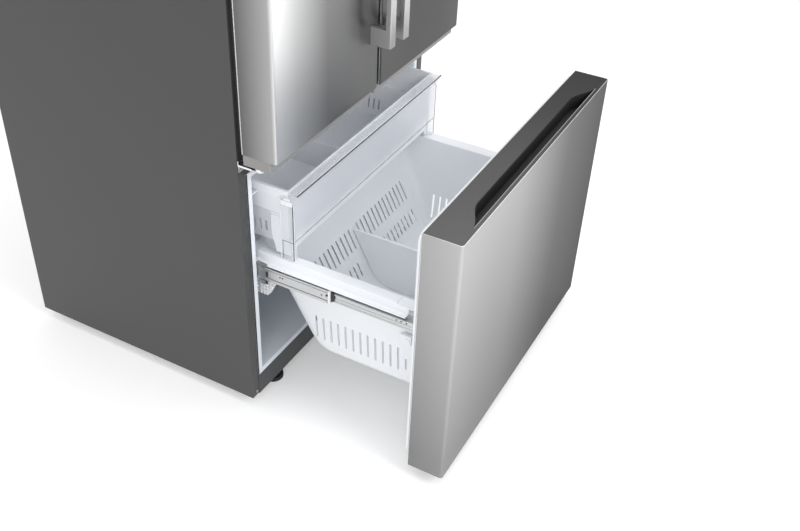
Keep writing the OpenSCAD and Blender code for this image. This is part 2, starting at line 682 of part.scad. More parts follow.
// Fan shroud between condenser and compressor, with the fan motor
shroud_x = -110;
shroud_t = 4;
cfan_r = 82;
cfan_depth = 34;
cfan_in = 116;
cfan_lift = 142;
cfan_gap = 2;
cfan_y = case_d - cfan_in;
cfan_z = base_z + cfan_lift;
cmotor_gap = 6;
cmotor_l = 40;
cmotor_r = 34;
cmotor_x = shroud_x + cfan_depth + cmotor_gap;
shroud_rim = 24;
shroud_set = 6;
shroud_back = case_d - shroud_set;
module fan_shroud() color("#5b5e61") in_case() {
    difference() {
        span([shroud_x, cfan_y - cfan_r - shroud_rim, base_z],
            [shroud_x + shroud_t, shroud_back, room_top - sheet]);
        rod_x(shroud_x - cut, shroud_x + shroud_t + cut, cfan_y, cfan_z, cfan_r + fan_gap);
    }
    for (a = [0, 120, 240]) translate([0, cfan_y, cfan_z]) rotate([a, 0, 0]) {
        span([cmotor_x, 0, -arm_w / 2], [cmotor_x + arm_t, cfan_r + 3 * fan_gap, arm_w / 2]);
        span([shroud_x + shroud_t, cfan_r + 1.5 * fan_gap, -arm_w / 2],
            [cmotor_x + arm_t, cfan_r + 3 * fan_gap, arm_w / 2]);
    }
    rod_x(cmotor_x, cmotor_x + cmotor_l, cfan_y, cfan_z, cmotor_r);
    rod_x(shroud_x + arm_t, cmotor_x, cfan_y, cfan_z, shaft_r);
}
module condenser_fan() color("#2d2f31") in_case() translate([shroud_x + cfan_depth + cfan_gap, cfan_y, cfan_z])
    rotate([0, 0, 90]) fan(cfan_r, cfan_r * hub_share, cfan_depth, 7, shaft_r + pin_fit);

pan_h = 22;
pan_wall = 2;
module drain_pan() color("#c9ccc9") in_case() translate([0, 0, base_z]) difference() {
    a = [cond_x0 + coil_r + ear_t, cond_y - cond_pitch / 2, 0];
    b = [cond_x1 - coil_r - ear_t, shroud_back - pan_wall, pan_h];
    span(a, b);
    span(a + pan_wall * [1, 1, 1], b + [-pan_wall, -pan_wall, cut]);
}

louvre_w = 60;
louvre_h = 6;
louvre_pitch = 18;
louvre_count = 10;
louvre_lift = 50;
louvre_x = [-330, -240, -20, 70, 160];
gland_side = 124;
gland_x = half_w - gland_side;
gland_z = 121;
gland_r = 13;
module machine_room_cover() color("#6b6d6f") in_case() difference() {
    span([-foam_half + seat, case_d - bead_rise - sheet, case_lift + sheet + seat],
        [foam_half - seat, case_d - bead_rise, room_top - seat]);
    for (i = [0 : louvre_count - 1], x = louvre_x) translate([x, 0, base_z + louvre_lift + i * louvre_pitch])
        span([0, case_d - bead_rise - sheet - cut, 0], [louvre_w, case_d + cut, louvre_h]);
    rod_y(case_d - bead_rise - sheet - cut, case_d + cut, gland_x, gland_z, gland_r + pin_fit);
}
module cord_gland() color("#1f2022") in_case() difference() {
    union() {
        rod_y(case_d - bead_rise - 4 * sheet, case_d - seat, gland_x, gland_z, gland_r);
        rod_y(case_d - bead_rise, case_d - seat, gland_x, gland_z, gland_r + 3 * sheet);
    }
    rod_y(case_d - bead_rise - 4 * sheet - cut, case_d + cut, gland_x, gland_z, gland_r / 2);
}

// Levelling leg: a ribbed foot on a stud that screws into the base
notch_r = 2.5;
notches = 16;
module levelling_leg() {
    difference() {
        union() {
            rod_z(0, leg_foot_h, 0, 0, leg_foot_r);
            rod_z(leg_foot_h, leg_foot_h + notch_r, 0, 0, leg_foot_r - 3 * notch_r);
        }
        for (i = [0 : notches - 1]) rotate([0, 0, i * 360 / notches])
            rod_z(notch_r, leg_foot_h + cut, leg_foot_r + notch_r / 2, 0, notch_r);
    }
    rod_z(leg_foot_h, case_lift, 0, 0, leg_stud_r + leg_fit - seat);
}
module levelling_leg_left() color("#1c1d1f") in_case() translate([-leg_x, leg_y, 0]) levelling_leg();
module levelling_leg_right() color("#1c1d1f") in_case() translate([leg_x, leg_y, 0]) levelling_leg();

module rear_rollers() color("#3b3d3f") in_case() {
    both_sides() difference() {
        rod_x(roller_x - roller_w / 2, roller_x + roller_w / 2, roller_y, roller_r, roller_r);
        for (s = [-1, 1]) translate([roller_x + s * roller_w / 2, roller_y, roller_r]) rotate([0, 90, 0])
            rotate_extrude() translate([roller_r * 0.5, -ear_t]) square([roller_r * 0.28, 2 * ear_t]);
    }
    rod_x(-roller_x - roller_w, roller_x + roller_w, roller_y, roller_r, axle_r);
}

// C-section slide member, open towards the basket
module channel_x(x_out, x_in, half, lip, y0, y1) {
    t = slide_t;
    prism_y(y0, y1, concat([[x_out, slide_z - half], [x_out, slide_z + half], [x_in, slide_z + half]],
        lip > 0 ? [[x_in, slide_z + half - lip], [x_in + t, slide_z + half - lip], [x_in + t, slide_z + half - t]]
            : [[x_in, slide_z + half - t]],
        [[x_out - t, slide_z + half - t], [x_out - t, slide_z - half + t]],
        lip > 0 ? [[x_in + t, slide_z - half + t], [x_in + t, slide_z - half + lip], [x_in, slide_z - half + lip]]
            : [[x_in, slide_z - half + t]],
        [[x_in, slide_z - half]]));
}
cab_member_w = 17;
mid_w = 15.4;
drawer_member_w = 12;
ball_gap = 2;
inner_ball_gap = 3.8;
cab_in = open_half - cab_member_w;
mid_outer = open_half - slide_t - ball_gap;
mid_in_x = mid_outer - mid_w;
drawer_member_outer = mid_outer - slide_t - inner_ball_gap;
drawer_member_in = drawer_member_outer - drawer_member_w;
cab_half = mid_half + slide_t + seat;
front_tab_h = 78;
front_tab_drop = 64;
front_tab_t = 3;
module slide_cabinet_members() color("#9c9ea0") in_case() both_sides() {
    channel_x(open_half, cab_in, cab_half, 0, cab_member_front, cab_member_front + cab_member_l);
    span([open_half - front_tab_t, foam_front + ear_t, slide_z - front_tab_drop],
        [open_half, cab_member_front + slide_t * 5, slide_z - front_tab_drop + front_tab_h]);
}
module slide_middle_members() color("#b3b6b8") in_mid() both_sides() difference() {
    channel_x(mid_outer, mid_in_x, mid_half, mid_half - drawer_member_half - seat, member_front,
        member_front + member_l);
    for (y = [member_front + mid_half, member_front + member_l / 2, member_front + member_l - mid_half])
        rod_x(mid_outer - slide_t - cut, mid_outer + cut, y, slide_z, screw_r + pin_fit);
}
block_l = 53;
block_y = 191;
block_h = 61;
block_t = 13;
wheel_r = 12;
block_x1 = cab_in - seat;
module slide_carriage_blocks() color("#f0f1f1") in_mid() both_sides() {
    top = slide_z - mid_half;
    difference() {
        prism_x(block_x1 - block_t, block_x1, [[block_y, top], [block_y + block_l, top],
            [block_y + block_l, top - block_h], [block_y + block_l / 2, top - block_h],
            [block_y, top - block_h * 2 / 3]]);
        rod_x(block_x1 - block_t - cut, block_x1 - block_t + slide_t, block_y + block_l / 2, top - block_h / 2,
            wheel_r);
    }
}
lip_drop = 18;
angle_top = rim_z - lip_drop - seat;
angle_t = 3;
hanger_t = 3;
hanger_drop = 50;
hanger_z0 = slide_z - hanger_drop;
hanger_lip = 4;
hanger_in = drawer_member_in - hanger_lip;
module slide_drawer_members() color("#a6a9ab") in_drawer() both_sides() {
    y0 = inner_y;
    y1 = cab_member_front + member_l + slide_t * 10;
    channel_x(drawer_member_outer, drawer_member_in, drawer_member_half, 0, y0, y1);
    span([drawer_member_in - angle_t, y0, slide_z - drawer_member_half], [drawer_member_in, y1, angle_top]);
    span([hanger_in, y0, hanger_z0], [drawer_member_outer + slide_t, y0 + hanger_t, slide_z - mid_half - seat]);
    span([hanger_in, y0, hanger_z0], [drawer_member_in, y0 + hanger_t, angle_top]);
}

// Drawer front: folded steel skin, insulated inner panel, dark top cap with the finger pocket
cap_h = 48;
bottom_cap_h = 12;
inner_y = 3;
inner_gap = 8;
inner_half = open_half - inner_gap;
inner_z0 = fz_z0 + inner_gap;
inner_z1 = fz_z1 - inner_gap;
inner_r = 16;
fit = 0.1;
module drawer_front_skin() color("#b8b9bb") in_drawer() translate([0, 0, drawer_lift]) linear_extrude(drawer_h)
    difference() {
        front_round([-half_w, face_y], [half_w, drawer_back], skin_r);
        front_round([-half_w + sheet, face_y + sheet], [half_w - sheet, drawer_back + cut], skin_r - sheet);
    }
module front_fill(z0, z1, back) translate([0, 0, z0]) linear_extrude(z1 - z0)
    front_round([-half_w + sheet + fit, face_y + sheet + fit], [half_w - sheet - fit, back], skin_r - sheet);
module drawer_inner_panel() color("#eceff1") in_drawer() {
    front_fill(drawer_lift + bottom_cap_h, drawer_z1 - cap_h, drawer_back);
    translate([0, inner_y, 0]) rotate([90, 0, 0]) linear_extrude(inner_y - drawer_back)
        round_rect([-inner_half, inner_z0], [inner_half, inner_z1], inner_r);
}
pocket_front = 12.5;
pocket_end = 68;
pocket_half = half_w - pocket_end;
pocket_w = 35;
pocket_run = 104;
pocket_flat = pocket_half - pocket_run;
pocket_steps = 12;
pocket_y = face_y + pocket_front;
function pocket_edge(s) = [for (i = [0 : pocket_steps]) let (t = i / pocket_steps)
    [s * (pocket_half - (pocket_half - pocket_flat) * t),
    pocket_y + pocket_w * (1 - cos(180 * t)) / 2]];
function backwards(p) = [for (i = [len(p) - 1 : -1 : 0]) p[i]];
module drawer_top_cap() color("#4b4c4e") in_drawer() difference() {
    front_fill(drawer_z1 - cap_h, drawer_z1 - sheet / 2, drawer_back);
    translate([0, 0, drawer_z1 - pocket_depth]) linear_extrude(pocket_depth + cut)
        polygon(concat(pocket_edge(1), backwards(pocket_edge(-1))));
}
module drawer_bottom_cap() color("#4b4c4e") in_drawer() difference() {
    front_fill(drawer_lift, drawer_lift + bottom_cap_h, drawer_back);
    span([-half_w + skin_r, face_y + skin_r, drawer_lift - cut], [half_w - skin_r, drawer_back - skin_r,
        drawer_lift + bottom_cap_h / 2]);
}

// Gaskets: a base, a bellows neck and the magnet bulb
gasket_w = 18;
neck_w = 8;
bulb_w = 14;
gasket_r = 22;
gasket_set = 9;
gasket_in = half_w - gasket_set;
module gasket(x0, x1, z0, z1, y0, y1) {
    a = [x0, z0];
    b = [x1, z1];
    q = (y1 - y0) / 4;
    round_frame(a, b, gasket_r, 0, gasket_w, y0, y0 + q);
    round_frame(a, b, gasket_r, (gasket_w - neck_w) / 2, neck_w, y0, y1 - q);
    round_frame(a, b, gasket_r, (gasket_w - bulb_w) / 2, bulb_w, y1 - 2 * q, y1);
}
drawer_gasket_set = 3;
drawer_gasket_in = half_w - drawer_gasket_set;
drawer_gasket_low = 20;
drawer_gasket_high = 19;
drawer_gasket_z0 = frame_z0 - drawer_gasket_low;
drawer_gasket_z1 = frame_z1 + drawer_gasket_high;
module drawer_gasket() color("#e8eaec") in_drawer()
    gasket(-drawer_gasket_in, drawer_gasket_in, drawer_gasket_z0, drawer_gasket_z1, drawer_back, -sheet - seat);

// Freezer basket: drafted open box with a sloped back, slots, and a rim over the slides
basket_z0 = rim_z - basket_h;
basket_y0 = 21;
basket_room = 66;
basket_y1 = duct_y - basket_room;
basket_draft = 23;
low_r = 24;
back_r = 45;
sweep_r = 79;
sweep_over = 42;
sweep_y = slope_y0 + sweep_over;
arc_steps = 4;
// Place along the big round under the back wall, from the floor up to the wall
function sweep_at(t) = let (a = -90 + (90 - back_lean) * t)
    [sweep_y - sweep_r + (sweep_r - low_r) * cos(a), basket_z0 + sweep_r + (sweep_r - low_r) * sin(a)];
rim_t = 3;
outer_half = basket_half + basket_wall;
module basket_form(inset, over) hull() for (s = [-1, 1]) {
    translate([s * (outer_half - low_r), basket_y0 + low_r, rim_z - rim_t])
        cylinder(r = low_r - inset, h = rim_t + over, $fn = 32);
    translate([s * (outer_half - back_r), basket_y1 - back_r, rim_z - rim_t])
        cylinder(r = back_r - inset, h = rim_t + over, $fn = 32);
    translate([s * (outer_half - basket_draft - low_r), basket_y0 + low_r, basket_z0 + low_r])
        sphere(r = low_r - inset, $fn = 24);
    for (i = [0 : arc_steps]) let (p = sweep_at(i / arc_steps))
        translate([s * (outer_half - basket_draft - low_r), p[0], p[1]]) sphere(r = low_r - inset, $fn = 24);
}
slot_w = 6;
slot_y0 = 69;
slot_end = 37;
slot_pitch = (sweep_y - slot_end - slot_y0) / (side_slots - 1);
slot_lift = 47;
slot_z0 = basket_z0 + slot_lift;
slot_h = 80;
back_slot_x = 22;
back_slot_pitch = 21.4;
back_slots = floor((basket_half - back_r - back_slot_x) / back_slot_pitch);
back_low_lift = 50;
back_low_z = basket_z0 + back_low_lift;
back_low_h = 38;
back_high_lift = 117;
back_high_z = basket_z0 + back_high_lift;
back_high_h = 56;
// The foremost slot is shorter than the rest, as the wall curves under it
function slot_trim(i) = i == 0 ? slot_h / 4 : 0;
module side_slot_comb() rotate([90, 0, 90]) linear_extrude(outer_half + cut) for (i = [0 : side_slots - 1])
    translate([slot_y0 + i * slot_pitch, slot_z0 + slot_trim(i) / 2]) slot_2d(slot_w, slot_h - 2 * slot_trim(i));
module back_slot_comb() translate([0, basket_y1 + cut, 0]) rotate([90, 0, 0])
    linear_extrude(basket_y1 - sweep_y + sweep_r + 2 * cut) for (i = [0 : back_slots - 1])
        translate([back_slot_x + i * back_slot_pitch, 0]) {
            translate([0, back_high_z]) slot_2d(slot_w, back_high_h);
            if (i > 0) translate([0, back_low_z]) slot_2d(slot_w, back_low_h);
        }
lip_gap = 6;
lip_out = open_half - lip_gap;
lip_step = drawer_member_in - angle_t - lip_gap / 2;
rim_over = 6;
rim_back = basket_y1 + rim_over;
module freezer_basket() color("#eef1f4") in_drawer() {
    difference() {
        union() {
            basket_form(0, 0);
            round_plate([-lip_step - rim_t, basket_y0 - rim_t * 2], [lip_step + rim_t, rim_back], low_r,
                rim_z - rim_t, rim_z);
        }
        basket_form(basket_wall, cut);
        both_sides() {
            side_slot_comb();
            back_slot_comb();
        }
    }
    both_sides() {
        a = [lip_step, basket_y0 + low_r, rim_z - lip_drop];
        span(a, [lip_step + rim_t, rim_back - low_r, rim_z]);
        span(a, [lip_out, rim_back - low_r, rim_z - lip_drop + rim_t]);
    }
}

// Divider of the basket, sliding from side to side on the basket floor
divider_wall = 4;
divider_drop = 136;
divider_z1 = rim_z - divider_drop;
divider_gap = 1;
divider_edge = 3;
module basket_divider() color("#f1f4f6") in_drawer() {
    sw = sweep_r - basket_wall - divider_gap;
    zc = basket_z0 + sweep_r;
    yc = sweep_y - sweep_r;
    y0 = basket_y0 + basket_wall + divider_gap;
    z0 = basket_z0 + basket_wall + 2 * seat;
    y_top = yc + sw * cos(back_lean) + (divider_z1 - zc + sw * sin(back_lean)) * tan(back_lean);
    prism_x(-divider_wall / 2, divider_wall / 2, concat(
        [[y0, divider_z1], [y0, basket_z0 + low_r], [basket_y0 + low_r, z0], [yc, z0]],
        [for (i = [1 : sweep_steps]) let (a = -90 + (90 - back_lean) * i / sweep_steps)
            [yc + sw * cos(a), zc + sw * sin(a)]],
        [[y_top, divider_z1]]));
    span([-divider_wall, y0, divider_z1 - divider_edge],
        [divider_wall, y_top - divider_edge * tan(back_lean), divider_z1]);
}
sweep_steps = 9;
// Lean of the basket's back wall from the vertical, inside, from its lower round up to the rim
back_dy = basket_y1 - basket_wall - (sweep_y - sweep_r);
back_dz = rim_z - rim_t - (basket_z0 + sweep_r);
back_lean = atan2(back_dy, back_dz) - asin((sweep_r - basket_wall) / norm([back_dy, back_dz]));

// Upper tray with slotted sides, a rim and runner flanges
tray_front = 40;
tray_wall_y = 69;
tray_room = 170;
tray_back = cave_d - tray_room;
tray_draft = 22;
tray_lean = 3;
tray_step = 10;
tray_step_drop = 77;
tray_band = 22;
tray_band_t = 4;
tray_slot_w = 6;
tray_slot_h = 33;
tray_slot_pitch = 17;
tray_slot_lift = 23;
tray_slot_y = 151;
tray_slot_end = 19;
tray_group = (tray_back - tray_slot_y - tray_slot_end) / 4;
tray_z0 = tray_top - tray_h;
tray_z1 = tray_top - tray_step_drop;
tray_body = tray_half - tray_band_t;
rib_h = 82;
skirt_back = 125;
skirt_drop = 14;
skirt_z0 = tray_z0 - skirt_drop;
tooth_w = 3;
tooth_count = 5;
tooth_lift = 56;
tooth_h = tooth_lift / tooth_count;
// Side of the tray: a drafted lower wall, a step outwards and the upper wall up to the rim
function tray_side(s, inset) = [[s * (tray_body - tray_draft - inset), tray_z0 + inset],
    [s * (tray_body - tray_lean - tray_step - inset), tray_z1 + inset],
    [s * (tray_body - tray_lean - inset), tray_z1 + inset], [s * (tray_body - inset), tray_top + inset]];
function tray_outline(inset) = concat(tray_side(1, inset), backwards(tray_side(-1, inset)));
// Skirt beside the tray's front corner, its back edge cut in small steps
module tray_skirt() {
    prism_x(tray_body - tray_lean - basket_wall, tray_body - tray_lean, concat([[tray_wall_y, skirt_z0],
        [tray_wall_y, tray_z1 + basket_wall], [skirt_back, tray_z1 + basket_wall]],
        [for (k = [0 : tooth_count - 1], e = [0, 1])
            [skirt_back - k * tooth_w, skirt_z0 + tooth_lift - (k + e) * tooth_h]]));
    span([tray_body - tray_draft - basket_wall / 2, tray_wall_y, skirt_z0],
        [tray_body - tray_lean - seat, tray_wall_y + basket_wall, tray_z1 + seat]);
}
module tray_slot_comb() rotate([90, 0, 90]) linear_extrude(tray_half + cut)
    for (g = [0 : 3], i = [0 : 2]) translate([tray_slot_y + g * tray_group + i * tray_slot_pitch,
        tray_z0 + tray_slot_lift]) slot_2d(tray_slot_w, tray_slot_h);
module freezer_tray() color("#eef1f4") in_tray() {
    difference() {
        union() {
            prism_y(tray_wall_y, tray_back, tray_outline(0));
            span([-tray_half, tray_wall_y, tray_top - tray_band], [tray_half, tray_back, tray_top]);
            both_sides() span([tray_body - basket_wall, ledge_front + runner_t * 2, runner_z + seat],
                [open_half - ledge_t, tray_back - tray_band_t, runner_z + seat + basket_wall]);
        }
        prism_y(tray_wall_y + basket_wall, tray_back - basket_wall, tray_outline(basket_wall));
        both_sides() tray_slot_comb();
    }
    both_sides() tray_skirt();
    span([-basket_wall / 2, tray_wall_y + basket_wall, tray_z0 + basket_wall],
        [basket_wall / 2, tray_back - basket_wall, tray_z0 + basket_wall + rib_h]);
}
pane_h = 140;
pane_y = 54;
pane_lip = 33;
pane_wall = 3;
cheek_y = 91;
cheek_drop = 15;
foot_h = 54;
foot_w = 14;
module tray_front_panel() color("#d9e1e6") in_tray() {
    z0 = tray_top - pane_h;
    x1 = tray_half + fit;
    y1 = tray_wall_y - fit;
    t = pane_wall;
    difference() {
        prism_x(-x1, x1, [[tray_front, tray_top], [y1, tray_top], [y1, z0], [pane_y, z0],
            [pane_y, tray_top - pane_lip], [tray_front, tray_top - t]]);
        prism_x(-x1 + t, x1 - t, [[tray_front + t, tray_top - t], [y1 - t, tray_top - t], [y1 - t, z0 - cut],
            [pane_y + t, z0 - cut], [pane_y + t, tray_top - pane_lip - t]]);
    }
    both_sides() {
        prism_x(x1, x1 + t, [[tray_front, tray_top], [cheek_y, tray_top - cheek_drop], [cheek_y, z0 - foot_h],
            [pane_y, z0 - foot_h], [pane_y, tray_top - pane_lip], [tray_front, tray_top - t]]);
        span([x1 - foot_w, pane_y, z0 - foot_h], [x1, y1, z0]);
    }
}

// Doors. The left one is drawn, the right one is its mirror image without the mullion arms
core_x0 = -half_w + sheet + fit;
core_x1 = -door_edge - sheet - fit;
dike_side = 56;
dike_out = half_w - dike_side;
dike_in = 46;
dike_w = 26;
dike_d = 65;
dike_gap = 13;
dike_z0 = ff_z0 + dike_gap;
dike_z1 = ff_z1 - dike_gap;
flap_r = 9;
flap_x = -25;
flap_gap = 0.5;
flap_y = flap_r + flap_gap;
flap_l = 49;
arm_h = 7;
flap_pin_r = 3;
flap_pin_l = 14;
bin_lift = 42;
bin_headroom = 282;
bin_low = dike_z0 + bin_lift;
bin_high = dike_z1 - bin_headroom;
bin_z = [bin_low, (bin_low + bin_high) / 2, bin_high];
bin_h = 110;
bin_front_h = 80;
bin_d = 96;
bin_wall = 2.5;
lug_h = 30;
lug_t = 5;
module door_skin() translate([0, 0, door_skin_z0]) linear_extrude(door_skin_z1 - door_skin_z0) difference() {
    front_round([-half_w, face_y], [-door_edge, door_back], skin_r);
    front_round([-half_w + sheet, face_y + sheet], [-door_edge - sheet, door_back + cut], skin_r - sheet);
}
module door_liner() {
    translate([0, 0, door_skin_z0]) linear_extrude(door_skin_z1 - door_skin_z0)
        front_round([core_x0, face_y + sheet + fit], [core_x1, door_back], skin_r - sheet);
    for (x = [-dike_out, -dike_in - dike_w]) {
        prism_y(door_back, door_back + dike_d, [[x, dike_z0], [x + dike_w, dike_z0], [x + dike_w, dike_z1],
            [x, dike_z1]]);
    }
    for (x = [-dike_out + dike_w, -dike_in - dike_w - lug_t], z = bin_z)
        span([x, door_back, z + bin_h / 2], [x + lug_t, door_back + dike_d, z + bin_h / 2 + lug_h]);
}
module mullion_arms() for (z = [dike_z0, dike_z1 - arm_h], s = [z == dike_z0 ? 1 : -1]) {
    span([-dike_in, flap_y - flap_r, z], [flap_x, flap_y + flap_r, z + arm_h]);
    rod_z(z, z + arm_h, flap_x, flap_y, flap_r);
    rod_z(s > 0 ? z : z + arm_h - flap_pin_l, s > 0 ? z + flap_pin_l : z + arm_h, flap_x, flap_y, flap_pin_r);
}
cap_in = 16;
module door_caps() {
    difference() {
        round_plate([core_x0, face_y + cap_in], [core_x1, door_back], skin_r / 2, door_z0, door_skin_z0);
        rod_z(door_z0 - cut, door_z0 + mid_pin_l, -pin_x, pin_y, pin_r + pin_fit);
    }
    difference() {
        translate([0, 0, door_skin_z1]) linear_extrude(door_top_cap_h)
            front_round([-half_w, face_y], [-door_edge, door_back], skin_r);
        rod_z(door_z1 - pin_l - cut, door_z1 + cut, -pin_x, pin_y, pin_r + pin_fit);
    }
}
door_gasket_low = 16;
door_gasket_high = 7;
door_gasket_z0 = door_skin_z0 - door_gasket_low;
door_gasket_z1 = case_top - door_gasket_high;
door_gasket_x1 = -10;
module door_gasket() gasket(-gasket_in, door_gasket_x1, door_gasket_z0, door_gasket_z1, door_back, -seat);
bar_t = 15;
post_h = 45;
bar_x0 = -47;
bar_r = 2;
handle_lift = 130;
handle_z0 = door_skin_z0 + handle_lift;
handle_l = door_skin_z1 - handle_in - handle_z0;
module door_handle() translate([0, face_y, 0]) {
    round_plate([bar_x0, -handle_reach], [bar_x0 + handle_w, -handle_reach + bar_t], bar_r, handle_z0,
        handle_z0 + handle_l);
    for (z = [handle_z0, handle_z0 + handle_l - post_h])
        span([bar_x0, -handle_reach + bar_t - bar_r, z], [bar_x0 + handle_w, 0, z + post_h]);
}
module door_bins() for (z = bin_z) {
    x0 = -dike_out + dike_w + seat;
    x1 = -dike_in - dike_w - seat;
    difference() {
        prism_x(x0, x1, [[door_back + seat, z], [door_back + bin_d - bin_wall * 2, z],
            [door_back + bin_d, z + bin_front_h], [door_back + dike_d, z + bin_front_h],
            [door_back + dike_d - bin_wall * 4, z + bin_h], [door_back + seat, z + bin_h]]);
        prism_x(x0 + bin_wall, x1 - bin_wall, [[door_back + seat + bin_wall, z + bin_wall],
            [door_back + bin_d - bin_wall * 3, z + bin_wall], [door_back + bin_d - bin_wall, z + bin_h + cut],
            [door_back + seat + bin_wall, z + bin_h + cut]]);
        for (x = [x0 - cut, x1 - lug_t - seat]) span([x, door_back - cut, z + bin_h / 2 - seat],
            [x + lug_t + cut + seat, door_back + dike_d + seat, z + bin_h / 2 + lug_h + seat]);
    }
}
module left_door(tint) color(tint) in_case() children();
module right_door(tint) color(tint) in_case() mirror([1, 0, 0]) children();
module door_left_skin() left_door("#b8b9bb") door_skin();
module door_left_liner() left_door("#eceff1") {
    door_liner();
    mullion_arms();
}
module door_left_caps() left_door("#4b4c4e") door_caps();
module door_left_gasket() left_door("#3c3d3f") door_gasket();
module door_left_handle() left_door("#c9cacb") door_handle();
module door_left_bins() left_door("#dbe2e6") door_bins();
module door_right_skin() right_door("#b8b9bb") door_skin();
module door_right_liner() right_door("#eceff1") door_liner();
module door_right_caps() right_door("#4b4c4e") door_caps();
module door_right_gasket() right_door("#3c3d3f") door_gasket();
module door_right_handle() right_door("#c9cacb") door_handle();
module door_right_bins() right_door("#dbe2e6") door_bins();

// Mullion flap on the left door, folded back; it turns to bridge the gap between the doors
module door_mullion() color("#55575a") in_case() difference() {
    z0 = dike_z0 + arm_h + seat;
    z1 = dike_z1 - arm_h - seat;
    union() {
        rod_z(z0, z1, flap_x, flap_y, flap_r);
        span([flap_x - flap_r, flap_y, z0], [flap_x + flap_r, flap_y + flap_l, z1]);
    }
    for (z = [z0 - cut, z1 - flap_pin_l]) rod_z(z, z + flap_pin_l + cut, flap_x, flap_y, flap_pin_r + pin_fit);
}

cabinet_wrapper();
rear_panel();
base_tray();
kick_strip();
foam_insulation();
fresh_food_liner();
freezer_liner();
freezer_trim_frame();
cross_rail();
top_hinges();
top_hinge_covers();
middle_hinges();
cabinet_screws();
shelf_frames();
shelf_glass();
crisper_left();
crisper_right();
pantry_drawer();
lamp_lens();
air_duct_panel();
control_panel();
freezer_duct_panel();
evaporator_coil();
compressor();
condenser_coil();
fan_shroud();
drain_pan();
machine_room_cover();
slide_cabinet_members();
cord_gland();
levelling_leg_left();
levelling_leg_right();
rear_rollers();
evaporator_fan();
condenser_fan();
slide_middle_members();
slide_carriage_blocks();
drawer_front_skin();
drawer_inner_panel();
drawer_top_cap();
drawer_bottom_cap();
drawer_gasket();
slide_drawer_members();
freezer_basket();
basket_divider();
freezer_tray();
tray_front_panel();
door_left_skin();
door_left_liner();
door_left_caps();
door_left_gasket();
door_left_handle();
door_left_bins();
door_right_skin();
door_right_liner();
door_right_caps();
door_right_gasket();
door_right_handle();
door_right_bins();
door_mullion();
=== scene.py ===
import bpy
import bmesh
import json
import math
from mathutils import Matrix, Vector


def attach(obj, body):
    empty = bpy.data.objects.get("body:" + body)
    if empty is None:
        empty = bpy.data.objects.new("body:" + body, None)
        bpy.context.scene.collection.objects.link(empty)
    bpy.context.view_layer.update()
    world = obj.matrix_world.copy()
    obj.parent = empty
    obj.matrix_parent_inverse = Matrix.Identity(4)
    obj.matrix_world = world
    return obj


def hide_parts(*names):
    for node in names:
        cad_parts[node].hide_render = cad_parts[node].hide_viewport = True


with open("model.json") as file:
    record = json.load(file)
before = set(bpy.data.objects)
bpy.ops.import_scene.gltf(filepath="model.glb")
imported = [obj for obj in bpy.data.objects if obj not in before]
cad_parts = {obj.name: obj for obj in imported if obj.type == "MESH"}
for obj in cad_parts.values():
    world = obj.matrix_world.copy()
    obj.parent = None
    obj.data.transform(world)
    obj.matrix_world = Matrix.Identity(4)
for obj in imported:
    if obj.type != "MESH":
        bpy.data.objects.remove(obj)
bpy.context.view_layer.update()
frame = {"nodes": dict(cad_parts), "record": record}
print("frame loaded:", len(frame["nodes"]), "nodes")

sceneNow = bpy.context.scene
sceneNow.view_settings.view_transform = "Standard"


# Camera at the photograph's viewing angle
camera = {
    "place": (-1.99259, -1.29060, 1.94288),
    "aim": (-0.13884, -0.35192, 0.38004),
    "rollDegrees": 2.746,
    "focal": 44.92, "sensor": 36.0,     # mm
    "clip": (0.05, 60.0),               # m
}


def makeCamera():
    lens = bpy.data.cameras.new("studioCamera")
    lens.lens, lens.sensor_width = camera["focal"], camera["sensor"]
    lens.clip_start, lens.clip_end = camera["clip"]
    eye = bpy.data.objects.new("studioCamera", lens)
    sceneNow.collection.objects.link(eye)
    eye.location = camera["place"]
    forward = Vector(camera["aim"]) - Vector(camera["place"])
    eye.rotation_mode = "QUATERNION"
    turn = Matrix.Rotation(math.radians(camera["rollDegrees"]), 3, "Z").to_quaternion()
    eye.rotation_quaternion = forward.to_track_quat("-Z", "Y") @ turn
    sceneNow.camera = eye


makeCamera()


# Helpers that place shader nodes
def fillNode(node, values, **traits):
    for trait, value in traits.items():
        setattr(node, trait, value)
    for socket, value in values.items():
        node.inputs[socket].default_value = value
    return node


def addTo(tree, kind, values=None, **traits):
    return fillNode(tree.nodes.new(kind), values or {}, **traits)


def newGroup(name, inputs, outputs):
    group = bpy.data.node_groups.new(name, "ShaderNodeTree")
    for label, kind, value in inputs:
        group.interface.new_socket(label, in_out="INPUT", socket_type=kind).default_value = value
    for label, kind in outputs:
        group.interface.new_socket(label, in_out="OUTPUT", socket_type=kind)
    return group, group.nodes.new("NodeGroupInput"), group.nodes.new("NodeGroupOutput")


